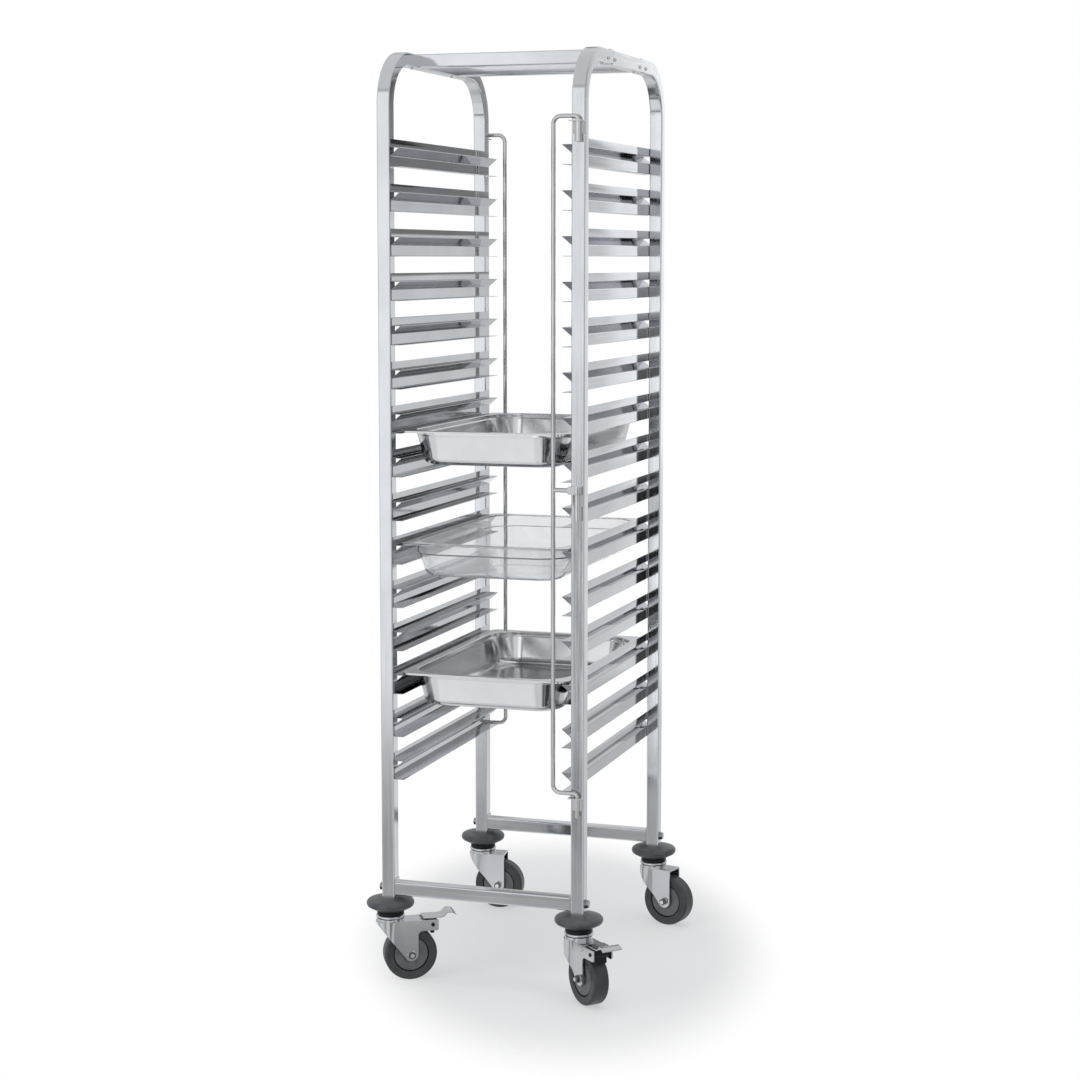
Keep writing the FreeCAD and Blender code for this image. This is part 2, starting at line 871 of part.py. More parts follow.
def fixed_rivet():
    """Rivet that ties the cheeks together in front of the pedal, set tight in both."""
    height = fork_top_height - rivet_drop
    half = fork_half_width + rivet_head_height
    pin = cylinder(
        rivet_radius,
        point(rivet_place, -half, height),
        point(rivet_place, half, height),
    )
    heads = []
    for side in (-1, 1):
        inside = point(rivet_place, side * fork_half_width, height)
        outside = point(rivet_place, side * half, height)
        heads.append(cylinder(rivet_head_radius, inside, outside))
    return united(pin, *heads)


def brake_pedal():
    """Pressed pedal on its rivet, with the shoe that swings on to the tyre."""
    pivot = (pedal_pivot, fork_top_height - pedal_pivot_drop)
    half = fork_inner - pedal_side_gap
    low = fork_top_height + pedal_rise
    plate = box(
        point(pedal_start, -half, low), point(pedal_flat_end, half, low + pedal_sheet)
    )
    boss = cylinder(
        pedal_boss_radius, upright_point(pivot, -half), upright_point(pivot, half)
    )
    web_low = point(pivot[0] - pedal_boss_radius, -half, pivot[1])
    web = box(web_low, point(pivot[0] + pedal_boss_radius, half, low))
    pieces = [plate, pedal_tongue(low, half), boss, web, rivet(*pivot), brake_shoe(pivot)]
    return united(*pieces)


def pedal_tongue(low, half):
    """The curved end that the foot presses, a little wider at the tip than at the root."""
    crest_low = low + pedal_crest_rise
    middle = (pedal_flat_end + pedal_crest) / 2
    rise = (low + crest_low) / 2
    tip_low = rise

    def rail(shift):
        """One face of the tongue, moved up by the shift."""
        return [
            Part.Arc(
                point(pedal_flat_end, 0, low + shift),
                point(middle, 0, rise - pedal_sheet + shift),
                point(pedal_crest - pedal_sheet, 0, crest_low + shift),
            ).toShape(),
            Part.Arc(
                point(pedal_crest - pedal_sheet, 0, crest_low + shift),
                point(pedal_crest + pedal_sheet, 0, crest_low + pedal_sheet / 2 + shift),
                point(pedal_tip, 0, tip_low + shift),
            ).toShape(),
        ]

    under = rail(0.0)
    over = rail(pedal_sheet)
    back = Part.makeLine(over[0].Vertexes[0].Point, under[0].Vertexes[0].Point)
    front = Part.makeLine(under[-1].Vertexes[-1].Point, over[-1].Vertexes[-1].Point)
    outline = Part.Face(Part.Wire([back, *under, front, *over[::-1]]))
    wide = half + pedal_tip_flare
    outline.translate(point(0, -wide, 0))
    blank = outline.extrude(point(0, 2 * wide, 0))
    plan = [
        point(pedal_flat_end - overrun, -half, 0),
        point(pedal_flat_end, -half, 0),
        point(pedal_tip, -wide, 0),
        point(pedal_tip + overrun, 0, 0),
        point(pedal_tip, wide, 0),
        point(pedal_flat_end, half, 0),
        point(pedal_flat_end - overrun, half, 0),
    ]
    cutter = Part.Face(Part.makePolygon(plan + plan[:1])).extrude(point(0, 0, overall_height))
    return blank.common(cutter)


def brake_shoe(pivot):
    """Arm from the pedal's boss that nears the tyre as the pedal goes down."""
    centre = (caster_trail, wheel_radius)
    towards = math.atan2(centre[1] - pivot[1], centre[0] - pivot[0])
    across = math.hypot(centre[0] - pivot[0], centre[1] - pivot[1])
    half = shoe_thickness / 2
    length = math.sqrt((across - wheel_radius - shoe_gap) ** 2 - half**2)
    low = point(0, -shoe_half_width, -half)
    shoe = box(low, point(length, shoe_half_width, half))
    turn = math.degrees(towards) + shoe_back_angle
    shoe.rotate(ORIGIN, Y_AXIS, -turn)
    shoe.translate(upright_point(pivot))
    return shoe


def around_axle(shape):
    """A shape of revolution about Z, laid on the wheel's axle."""
    laid = shape.copy()
    laid.rotate(ORIGIN, X_AXIS, 90)
    laid.translate(point(caster_trail, 0, wheel_radius))
    return laid


def axle():
    """Bolt through the fork, with its nut on the far end."""
    half = fork_half_width
    nut_end = half + axle_nut_height
    head = hexagon(axle_head_flats, axle_head_height, point(0, 0, -half), -Z_AXIS)
    nut = hexagon(axle_head_flats, axle_nut_height, point(0, 0, half), Z_AXIS)
    shank = cylinder(axle_radius, point(0, 0, -half), point(0, 0, nut_end + axle_end))
    return around_axle(united(head, nut, shank))


def tyre():
    """Rubber tyre with round shoulders."""
    half = tyre_width / 2
    seat = tyre_seat_radius + tyre_seat_clearance
    face = half - tyre_face_inset
    shoulder = wheel_radius - tyre_shoulder
    low = (shoulder, tyre_shoulder - half)
    high = (shoulder, half - tyre_shoulder)
    profile = [
        (seat, -face),
        *eased_corner(low, tyre_shoulder, -90, 0, round_steps),
        *eased_corner(high, tyre_shoulder, 0, 90, round_steps),
        (seat, face),
    ]
    return around_axle(revolved(profile))


def wheel_core():
    """Moulded centre with a ring groove on each face and a bored boss."""
    bore = axle_radius + bearing_clearance
    boss = fork_inner - side_clearance
    face = tyre_width / 2 - hub_face_inset
    groove = face - hub_groove_depth
    half_profile = [
        (bore, boss),
        (hub_boss_radius, boss),
        (hub_boss_radius, face),
        (hub_face_radius, face),
        (hub_face_radius, groove),
        (tyre_seat_radius, groove),
    ]
    mirrored = [(radius, -height) for radius, height in half_profile[::-1]]
    return around_axle(revolved(half_profile + mirrored))


def stem():
    """Kingpin with its head under the fork's crown and the upper race above it."""
    head_top = fork_top_height - fork_sheet - kingpin_gap
    top = foot_height + kingpin_depth
    profile = [
        (0, head_top - kingpin_head_height),
        (kingpin_head_radius, head_top - kingpin_head_height),
        (kingpin_head_radius, head_top),
        (kingpin_radius, head_top),
        (kingpin_radius, race_bottom),
        (upper_race_radius - race_edge, race_bottom),
        (upper_race_radius, race_bottom + race_edge),
        (upper_race_radius, seal_bottom - race_edge),
        (upper_race_radius - race_edge, seal_bottom),
        (kingpin_radius, seal_bottom),
        (kingpin_radius, top),
        (0, top),
    ]
    return revolved(profile)


def leg_plug():
    """Square plug inside the leg, bored for the kingpin and cleared for the bar's bolt."""
    side = tube_side - 2 * tube_wall - 2 * plug_clearance
    plug = Part.Face(eased_square(side, tube_easing, foot_height))
    plug = plug.extrude(point(0, 0, plug_height))
    bore_top = point(0, 0, foot_height + kingpin_depth)
    bore = cylinder(kingpin_radius + stem_clearance, ORIGIN, bore_top)
    bolt_way = cylinder(
        bolt_radius + plug_bolt_clearance,
        point(-tube_side, 0, bottom_bar_z),
        point(tube_side, 0, bottom_bar_z),
    )
    return plug.cut([bore, bolt_way])


def seal_ring():
    """Rubber ring that keeps dirt out of the swivel."""
    bore = kingpin_radius + stem_clearance
    profile = [
        (bore, seal_bottom),
        (seal_radius, seal_bottom),
        (seal_radius, bumper_bottom),
        (bore, bumper_bottom),
    ]
    return revolved(profile)


def bumper():
    """Lens-shaped rubber disc that keeps the trolley off walls and doors."""
    bore = kingpin_radius + stem_clearance
    middle = (bumper_bottom + foot_height) / 2
    edge_x = bumper_radius - bumper_edge
    bow_x = (bumper_seat_radius + edge_x) / 2
    high_bow = (foot_height + middle + bumper_edge) / 2 + bumper_bow
    low_bow = (bumper_bottom + middle - bumper_edge) / 2 - bumper_bow
    profile = [
        (bore, bumper_bottom),
        (bumper_seat_radius, bumper_bottom),
        (bow_x, low_bow),
        *eased_corner((edge_x, middle), bumper_edge, -90, 90, 2 * round_steps),
        (bow_x, high_bow),
        (bumper_seat_radius, foot_height),
        (bore, foot_height),
    ]
    return revolved(profile)


def at_leg(shape, corner):
    """A shape about the stem, moved under the leg of that corner without turning it."""
    moved = shape.copy()
    moved.translate(point(side_sign(corner) * leg_x, end_sign(corner) * leg_y, 0))
    return moved


def at_caster(shape, corner):
    """A shape of the swivelling part, turned to its heading and moved under its leg."""
    turned = shape.copy()
    turned.rotate(ORIGIN, Z_AXIS, caster_heading_angles[corner])
    return at_leg(turned, corner)


# Write every node


def save_frame():
    for corner in caster_heading_angles:
        save(corner.replace("_", "_upright_"), upright(corner))
    for side, sign in (("left", -1), ("right", 1)):
        save("top_side_rail_" + side, side_rail(sign))
    for end, sign in (("front", -1), ("rear", 1)):
        save("top_cross_bar_" + end, *top_cross_bar(sign))
        save("bottom_cross_bar_" + end, bottom_cross_bar(sign))
    save("top_joint_screws", *top_screws())
    save("bottom_bar_bolts", *bottom_bolts())


def save_runners_and_pans():
    for level in range(1, runner_count + 1):
        save(f"runner_pair_{level:02d}", *runner_pair(level))
    steel = (steel_pan_wall, steel_pan_edge, steel_pan_shoulder, steel_pan_step)
    clear = (clear_pan_wall, clear_pan_edge, clear_pan_shoulder, clear_pan_step)
    save("pan_upper_steel", pan(ledge_height(upper_pan_level_count), *steel))
    save("pan_middle_clear", pan(shelf_height(middle_pan_level_count), *clear))
    save("pan_lower_steel", pan(shelf_height(lower_pan_level_count), *steel))


def save_bars():
    bar = retaining_bar()
    brackets = bar_brackets()
    save("retaining_bar_front", bar)
    save("retaining_bar_rear", turned_to_rear(bar))
    save("bar_brackets_front", *brackets)
    save("bar_brackets_rear", *[turned_to_rear(bracket) for bracket in brackets])


def save_casters():
    for corner in caster_heading_angles:
        braked = end_sign(corner) < 0
        save("caster_stem_" + corner, at_leg(stem(), corner), at_leg(leg_plug(), corner))
        save("bumper_" + corner, at_leg(bumper(), corner), at_leg(seal_ring(), corner))
        save("caster_fork_" + corner, at_caster(fork(braked), corner))
        save("wheel_axle_" + corner, at_caster(axle(), corner))
        save("wheel_core_" + corner, at_caster(wheel_core(), corner))
        save("tyre_" + corner, at_caster(tyre(), corner))
        if braked:
            save("brake_pedal_" + corner, at_caster(brake_pedal(), corner))


os.makedirs("parts", exist_ok=True)
save_frame()
save_runners_and_pans()
save_bars()
save_casters()
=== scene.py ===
"""Gastronorm tray trolley, dressed piece by piece in the order it is put together: the bent tube
frame, its cross bars and fasteners, the folded runners, the pans, the retaining bars, and then
the casters from the leg down to the floor. All lengths are in metres.
"""

import json
import math

import bmesh
import bpy
from mathutils import Matrix, Vector


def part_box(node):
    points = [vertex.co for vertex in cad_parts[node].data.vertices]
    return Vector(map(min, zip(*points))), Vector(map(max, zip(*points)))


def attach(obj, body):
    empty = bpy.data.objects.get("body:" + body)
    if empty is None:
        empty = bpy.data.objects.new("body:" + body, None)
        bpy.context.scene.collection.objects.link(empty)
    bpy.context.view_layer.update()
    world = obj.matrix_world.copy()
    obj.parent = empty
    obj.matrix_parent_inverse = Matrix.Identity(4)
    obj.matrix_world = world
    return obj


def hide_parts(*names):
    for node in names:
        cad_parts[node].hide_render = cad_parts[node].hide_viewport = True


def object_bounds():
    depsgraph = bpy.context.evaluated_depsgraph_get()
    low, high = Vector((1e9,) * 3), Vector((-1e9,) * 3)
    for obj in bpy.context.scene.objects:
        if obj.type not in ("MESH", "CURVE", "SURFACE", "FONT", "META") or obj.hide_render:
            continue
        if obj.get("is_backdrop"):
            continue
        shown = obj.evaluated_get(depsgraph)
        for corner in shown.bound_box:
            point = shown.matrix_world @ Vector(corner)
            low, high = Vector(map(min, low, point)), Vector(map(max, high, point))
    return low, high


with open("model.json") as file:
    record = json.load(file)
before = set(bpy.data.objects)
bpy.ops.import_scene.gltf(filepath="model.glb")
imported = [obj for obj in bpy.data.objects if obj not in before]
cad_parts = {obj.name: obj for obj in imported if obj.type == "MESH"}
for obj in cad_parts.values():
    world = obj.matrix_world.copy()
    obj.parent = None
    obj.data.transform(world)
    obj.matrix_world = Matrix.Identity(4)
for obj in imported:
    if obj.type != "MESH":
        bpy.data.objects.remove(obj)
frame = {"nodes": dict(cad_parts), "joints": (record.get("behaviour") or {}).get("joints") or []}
cad_low, cad_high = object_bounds()


# Uprights
# Four square stainless tubes, each bent through a quarter turn at the top so that it ends in
# a short level stub. The tube is seam welded, ground and polished along its length.

CORNERS = ("front_left", "front_right", "rear_left", "rear_right")
leg_low, leg_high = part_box("front_upright_left")
TUBE = leg_high.x - leg_low.x
TUBE_CORNER = 0.1 * TUBE
TUBE_BEND = 0.090
BEND_STEPS = 20
MERGE = 1e-6
SMEAR_SHARE = 0.86
GRAIN_DEPTH = 0.0004


def square_end(bm, side, corner):
    """A flat square with round corners, lying on the origin."""
    bmesh.ops.create_grid(bm, x_segments=1, y_segments=1, size=side / 2)
    bmesh.ops.bevel(
        bm, geom=bm.verts[:], offset=corner, affect="VERTICES", segments=5, profile=0.5,
        material=-1
    )
    return bm.faces[:]


def push(bm, faces, move):
    """Extrudes faces, applies a matrix to their copies and returns them."""
    edges = list(dict.fromkeys(edge for face in faces for edge in face.edges))
    made = bmesh.ops.extrude_face_region(bm, geom=[*faces, *edges])["geom"]
    verts = [item for item in made if isinstance(item, bmesh.types.BMVert)]
    bmesh.ops.transform(bm, matrix=move, verts=verts)
    return [item for item in made if isinstance(item, bmesh.types.BMFace)]


def bend(bm, faces, centre, axis, degrees, steps):
    """Extrudes faces round a centre in equal steps."""
    step = Matrix.Rotation(math.radians(degrees / steps), 4, axis)
    about = Matrix.Translation(centre) @ step @ Matrix.Translation(-Vector(centre))
    for _ in range(steps):
        faces = push(bm, faces, about)
    return faces


def steel(name, colour, rough, grain, streak=(1, 1, 1), bump=0.05):
    """Stainless steel with fine grinding lines, faint cloudiness and wiped smears."""
    material = bpy.data.materials.new(name)
    material.use_nodes = True
    nodes = material.node_tree.nodes
    links = material.node_tree.links
    shader = nodes["Principled BSDF"]
    shader.inputs["Metallic"].default_value = 1.0
    place = nodes.new("ShaderNodeTexCoord")
    lines_map = nodes.new("ShaderNodeMapping")
    lines_map.inputs["Scale"].default_value = streak
    links.new(place.outputs["Object"], lines_map.inputs["Vector"])
    lines = nodes.new("ShaderNodeTexNoise")
    lines.inputs["Scale"].default_value = grain
    lines.inputs["Detail"].default_value = 3.0
    links.new(lines_map.outputs["Vector"], lines.inputs["Vector"])
    clouds = nodes.new("ShaderNodeTexNoise")
    clouds.inputs["Scale"].default_value = 9.0
    clouds.inputs["Detail"].default_value = 4.0
    links.new(place.outputs["Object"], clouds.inputs["Vector"])
    tint = nodes.new("ShaderNodeValToRGB")
    tint.color_ramp.elements[0].position = 0.3
    tint.color_ramp.elements[0].color = (*[SMEAR_SHARE * c for c in colour], 1)
    tint.color_ramp.elements[1].position = 0.75
    tint.color_ramp.elements[1].color = (*colour, 1)
    links.new(clouds.outputs["Fac"], tint.inputs["Fac"])
    links.new(tint.outputs["Color"], shader.inputs["Base Color"])
    gloss = nodes.new("ShaderNodeMapRange")
    gloss.inputs["From Min"].default_value = 0.3
    gloss.inputs["From Max"].default_value = 0.7
    gloss.inputs["To Min"].default_value = rough[0]
    gloss.inputs["To Max"].default_value = rough[1]
    links.new(lines.outputs["Fac"], gloss.inputs["Value"])
    links.new(gloss.outputs["Result"], shader.inputs["Roughness"])
    relief = nodes.new("ShaderNodeBump")
    relief.inputs["Strength"].default_value = bump
    relief.inputs["Distance"].default_value = GRAIN_DEPTH
    links.new(lines.outputs["Fac"], relief.inputs["Height"])
    links.new(relief.outputs["Normal"], shader.inputs["Normal"])
    return material


def set_piece(bm, name, finish, body, stands_for=(), smooth=32, wall=0, side=0):
    """Makes the mesh an object, fastens it to its body and hides the nodes it stands for. A
    wall gives a sheet its thickness, and the last modifier keeps flat faces flat to light."""
    bmesh.ops.remove_doubles(bm, verts=bm.verts[:], dist=MERGE)
    bmesh.ops.recalc_face_normals(bm, faces=bm.faces[:])
    mesh = bpy.data.meshes.new(name)
    bm.to_mesh(mesh)
    bm.free()
    mesh.shade_smooth()
    mesh.set_sharp_from_angle(angle=math.radians(smooth))
    mesh.materials.append(finish)
    piece = bpy.data.objects.new(name, mesh)
    bpy.context.collection.objects.link(piece)
    if wall:
        sheet = piece.modifiers.new("sheet", "SOLIDIFY")
        sheet.thickness = wall
        sheet.offset = side
        sheet.use_even_offset = True
    flat = piece.modifiers.new("flat", "WEIGHTED_NORMAL")
    flat.keep_sharp = True
    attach(piece, body)
    if stands_for:
        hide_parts(*stands_for)
    return piece


leg_steel = steel("leg_steel", (0.70, 0.71, 0.73), (0.07, 0.14), 300, (1, 1, 0.03))
for corner in CORNERS:
    end, side = corner.split("_")
    node = f"{end}_upright_{side}"
    low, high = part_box(node)
    outward = -1 if end == "front" else 1
    leg_x = (low.x + high.x) / 2
    leg_y = outward * (max(abs(low.y), abs(high.y)) - TUBE / 2)
    stub_y = outward * min(abs(low.y), abs(high.y))
    bend_z = high.z - TUBE / 2 - TUBE_BEND
    bend_y = leg_y - outward * TUBE_BEND
    bm = bmesh.new()
    end_face = square_end(bm, TUBE, TUBE_CORNER)
    bmesh.ops.translate(bm, verts=bm.verts[:], vec=(leg_x, leg_y, low.z))
    end_face = push(bm, end_face, Matrix.Translation((0, 0, bend_z - low.z)))
    end_face = bend(bm, end_face, (leg_x, bend_y, bend_z), "X", outward * 90, BEND_STEPS)
    push(bm, end_face, Matrix.Translation((0, stub_y - bend_y, 0)))
    set_piece(bm, f"polished_upright_{corner}", leg_steel, "frame", [node])


# Top side rails
# Two straight lengths of the same tube, pushed on to the cross bars' spigots between the
# stubs of the uprights. The joints stay visible as fine lines.

RAIL_GAP = 0.0002


def straight_tube(bm, start, end, side, corner):
    """A square tube between two points along one axis."""
    along = Vector(end) - Vector(start)
    turn = Vector((0, 0, 1)).rotation_difference(along).to_matrix().to_4x4()
    first = square_end(bm, side, corner)
    bmesh.ops.transform(bm, matrix=Matrix.Translation(start) @ turn, verts=bm.verts[:])
    return push(bm, first, Matrix.Translation(along))


rail_steel = steel("rail_steel", (0.70, 0.71, 0.73), (0.07, 0.14), 300, (1, 0.03, 1))
for side in ("left", "right"):
    low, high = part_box(f"top_side_rail_{side}")
    middle = (low + high) / 2
    reach = high.y - RAIL_GAP
    bm = bmesh.new()
    straight_tube(
        bm, (middle.x, -reach, middle.z), (middle.x, reach, middle.z), TUBE, TUBE_CORNER
    )
    node = f"top_side_rail_{side}"
    set_piece(bm, f"polished_rail_{side}", rail_steel, "frame", [node])


# Top cross bars
# The same tube across the top, a little proud of the side tubes, with a thin plate welded
# over each end and ground flush. The weld leaves a fine line round the tube.

CAP = 0.0015
CAP_LINE = 0.0003
CAP_EDGE = 0.0005


def capped_end(bm, face, outward):
    """Grooves, end plate and softened edge at one end of a bar along X."""
    shrink = 1 - 2 * CAP_LINE / TUBE
    centre = face[0].calc_center_median()
    for scale, step in ((shrink, 0.5 * CAP_LINE), (1 / shrink, 0.5 * CAP_LINE), (1, CAP)):
        about = Matrix.Translation(centre) @ Matrix.Diagonal((1, scale, scale, 1))
        about = about @ Matrix.Translation(-centre)
        face = push(bm, face, Matrix.Translation((outward * step, 0, 0)) @ about)
    bmesh.ops.bevel(
        bm, geom=face[0].edges[:], offset=CAP_EDGE, affect="EDGES", segments=2, profile=0.5,
        material=-1
    )


cross_steel = steel("cross_steel", (0.70, 0.71, 0.73), (0.07, 0.14), 300, (0.03, 1, 1))
for end in ("front", "rear"):
    low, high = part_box(f"top_cross_bar_{end}")
    y = (low.y + high.y) / 2
    z = high.z - TUBE / 2
    reach = high.x - CAP - CAP_LINE
    bm = bmesh.new()
    far = straight_tube(bm, (-reach, y, z), (reach, y, z), TUBE, TUBE_CORNER)
    near = [f for f in bm.faces if f.calc_center_median().x < CAP_LINE - reach]
    capped_end(bm, far, 1)
    capped_end(bm, near, -1)
    node = f"top_cross_bar_{end}"
    set_piece(bm, f"capped_cross_bar_{end}", cross_steel, "frame", [node])


# Bottom cross bars
# A tube between the two legs of each end. A plate welded over each of its ends lies against
# the leg, stands up a little above the tube and takes the bolt that comes through the leg.

PLATE = 0.002
PLATE_WIDTH = 0.022
PLATE_EDGE = 0.0004


def softened(bm, width, steps=2, angle=30):
    """Rounds every edge that turns by more than the angle."""
    sharp = []
    for edge in bm.edges:
        if len(edge.link_faces) == 2 and edge.calc_face_angle() > math.radians(angle):
            sharp.append(edge)
    bmesh.ops.bevel(
        bm, geom=sharp, offset=width, affect="EDGES", segments=steps, profile=0.5,
        material=-1, clamp_overlap=True
    )


def join(bm, part):
    """Adds a finished part's mesh to another, and frees it."""
    mesh = bpy.data.meshes.new("part")
    part.to_mesh(mesh)
    part.free()
    bm.from_mesh(mesh)
    bpy.data.meshes.remove(mesh)


def block(bm, low, high, edge):
    """A rectangular block between two corners, with softened edges, added to the mesh."""
    part = bmesh.new()
    size = Vector(high) - Vector(low)
    bmesh.ops.create_cube(part, size=1)
    bmesh.ops.scale(part, verts=part.verts[:], vec=size)
    bmesh.ops.translate(part, verts=part.verts[:], vec=(Vector(high) + Vector(low)) / 2)
    softened(part, edge)
    join(bm, part)


for end in ("front", "rear"):
    low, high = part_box(f"bottom_cross_bar_{end}")
    y = (low.y + high.y) / 2
    z = low.z + TUBE / 2
    bm = bmesh.new()
    straight_tube(
        bm, (low.x + PLATE, y, z), (high.x - PLATE, y, z), TUBE, TUBE_CORNER
    )
    for face_x, back_x in ((low.x, low.x + PLATE), (high.x - PLATE, high.x)):
        near = (face_x, y - PLATE_WIDTH / 2, low.z)
        block(bm, near, (back_x, y + PLATE_WIDTH / 2, high.z), PLATE_EDGE)
    node = f"bottom_cross_bar_{end}"
    set_piece(bm, f"bolted_cross_bar_{end}", cross_steel, "frame", [node])


# Button screws of the top joints
# Twelve stainless button screws with a six-sided socket, two in the outer face of each top
# joint and one under it. They clamp the side tubes to the spigots.

SCREW_RADIUS = 0.0038
SCREW_HEIGHT = 0.0022
SCREW_RIM = 0.0003
DOME_SHARE = 0.6
SOCKET_RADIUS = 0.0014
SOCKET_FLOOR = 0.0008
SCREW_FROM_TOP = 0.0175
SCREW_STEP = 0.021


def lathe(bm, outline, steps=56):
    """Spins an outline of (radius, height) points round Z. One from axis to axis stays open."""
    verts = [bm.verts.new((radius, 0, height)) for radius, height in outline]
    pairs = list(zip(verts, verts[1:]))
    if outline[0][0] > 0 and outline[-1][0] > 0:
        pairs.append((verts[-1], verts[0]))
    edges = [bm.edges.new(pair) for pair in pairs]
    bmesh.ops.spin(
        bm, geom=verts + edges, cent=(0, 0, 0), axis=(0, 0, 1), angle=math.tau, steps=steps,
        use_merge=True
    )
    bmesh.ops.remove_doubles(bm, verts=bm.verts[:], dist=MERGE)
    bmesh.ops.recalc_face_normals(bm, faces=bm.faces[:])


def arc(centre, radius, start, end, steps):
    """Points along part of a circle, with its angles in degrees."""
    places = []
    for i in range(steps + 1):
        angle = math.radians(start + (end - start) * i / steps)
        across = centre[0] + radius * math.cos(angle)
        places.append((across, centre[1] + radius * math.sin(angle)))
    return places


def turned_to(direction, place):
    """The matrix that lays the Z axis along a direction at a place."""
    turn = Vector((0, 0, 1)).rotation_difference(Vector(direction)).to_matrix().to_4x4()
    return Matrix.Translation(place) @ turn


def button_screw(bm, direction, place):
    """Domed head with a sunk socket, standing on the surface."""
    part = bmesh.new()
    round_edge = DOME_SHARE * SCREW_RADIUS
    dome = arc((SCREW_RADIUS - round_edge, SCREW_RIM), round_edge, 0, 70, 6)
    outline = [(0, 0), (SCREW_RADIUS, 0), *dome]
    outline += [(SOCKET_RADIUS, SCREW_HEIGHT), (SOCKET_RADIUS, SOCKET_FLOOR), (0, SOCKET_FLOOR)]
    lathe(part, outline, 24)
    bmesh.ops.transform(part, matrix=turned_to(direction, place), verts=part.verts[:])
    join(bm, part)


screw_steel = steel("screw_steel", (0.82, 0.82, 0.82), (0.22, 0.36), 900)
bm = bmesh.new()
bar_low, bar_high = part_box("top_cross_bar_rear")
joint_y = (bar_low.y + bar_high.y) / 2
screw_z = cad_high.z - SCREW_FROM_TOP
for side in (-1, 1):
    for end in (-1, 1):
        for step in (-SCREW_STEP, SCREW_STEP):
            place = (side * -leg_low.x, end * joint_y + step, screw_z)
            button_screw(bm, (side, 0, 0), place)
        under = leg_high.z - TUBE
        middle_x = side * (-leg_low.x - TUBE / 2)
        button_screw(bm, (0, 0, -1), (middle_x, end * joint_y - SCREW_STEP, under))
set_piece(bm, "button_screws", screw_steel, "frame", ["top_joint_screws"])


# Bolts of the bottom cross bars
# Four hexagon bolts, each with a washer, through the leg and into a nut welded inside the
# bar's end plate.

WASHER_RADIUS = 0.0085
WASHER_HEIGHT = 0.0015
WASHER_EDGE = 0.0003
BOLT_FLATS = 0.013
BOLT_HEIGHT = 0.0053
HEX_CORNER_SHARE = 0.1
HEX_EDGE_SHARE = 0.04


def hexagon(bm, flats, height, at):
    """Hexagon head or nut standing on Z at a height, with its corners turned off."""
    part = bmesh.new()
    radius = flats / math.sqrt(3)
    bmesh.ops.create_circle(part, cap_ends=True, segments=6, radius=radius)
    top = push(part, part.faces[:], Matrix.Translation((0, 0, height)))
    bmesh.ops.bevel(
        part, geom=top[0].verts[:], offset=HEX_CORNER_SHARE * flats, affect="VERTICES",
        segments=3, profile=0.5, material=-1
    )
    softened(part, HEX_EDGE_SHARE * flats)
    bmesh.ops.translate(part, verts=part.verts[:], vec=(0, 0, at))
    join(bm, part)


def disc(bm, radius, low, high, edge, steps=40):
    """Round disc between two heights, with softened edges."""
    part = bmesh.new()
    lathe(part, [(0, low), (radius, low), (radius, high), (0, high)], steps)
    softened(part, edge)
    join(bm, part)


fastener_steel = steel("fastener_steel", (0.40, 0.40, 0.39), (0.14, 0.3), 900)
bm = bmesh.new()
bolt_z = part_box("bottom_cross_bar_front")[0].z + TUBE / 2
for side in (-1, 1):
    for end in (-1, 1):
        part = bmesh.new()
        disc(part, WASHER_RADIUS, 0, WASHER_HEIGHT, WASHER_EDGE)
        hexagon(part, BOLT_FLATS, BOLT_HEIGHT, WASHER_HEIGHT)
        place = (side * -leg_low.x, end * (-leg_low.y - TUBE / 2), bolt_z)
        matrix = turned_to((side, 0, 0), place)
        bmesh.ops.transform(part, matrix=matrix, verts=part.verts[:])
        join(bm, part)
set_piece(bm, "frame_bolts", fastener_steel, "frame", ["bottom_bar_bolts"])


# Pan runners
# Thirty lengths of thin stainless sheet, pressed to one profile and spot welded inside the
# legs: a band, a shelf, a slanting groove, a web and a ledge. The folds are small and round.

SHEET = 0.001
FOLD = 0.0011
BAND = 0.015
SHELF = 0.018
GROOVE = 0.015
WEB = 0.020
LEVELS = 15


def runner(side, top, reach, wall_x):
    """One runner, modelled as its middle surface and then given its thickness."""
    bm = bmesh.new()
    web = SHEET / 2
    line = [
        (web, 0),
        (web, -BAND),
        (web + SHELF, -BAND),
        (web, -BAND - GROOVE),
        (web, -BAND - GROOVE - WEB),
        (web + SHELF, -BAND - GROOVE - WEB),
    ]
    verts = [bm.verts.new((side * (wall_x - u), -reach, top + v)) for u, v in line]
    edges = [bm.edges.new(pair) for pair in zip(verts, verts[1:])]
    made = bmesh.ops.extrude_edge_only(bm, edges=edges)["geom"]
    far = [item for item in made if isinstance(item, bmesh.types.BMVert)]
    bmesh.ops.translate(bm, verts=far, vec=(0, 2 * reach, 0))
    folds = [e for e in bm.edges if len(e.link_faces) == 2]
    bmesh.ops.bevel(
        bm, geom=folds, offset=FOLD, affect="EDGES", segments=4, profile=0.5, material=-1
    )
    bmesh.ops.recalc_face_normals(bm, faces=bm.faces[:])
    return bm


runner_steel = steel("runner_steel", (0.56, 0.57, 0.59), (0.03, 0.08), 260, (1, 0.02, 1))
for level in range(1, LEVELS + 1):
    node = f"runner_pair_{level:02d}"
    _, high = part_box(node)
    bm = runner(-1, high.z, high.y, high.x)
    join(bm, runner(1, high.z, high.y, high.x))
    name = f"folded_runners_{level:02d}"
    set_piece(bm, name, runner_steel, "frame", [node], wall=SHEET)


# Pans
# Three deep-drawn pans of the 530 by 325 size: two of polished steel and one of clear moulded
# plastic. Each has a flat rim with its edge turned down, a stacking shoulder and a round floor.

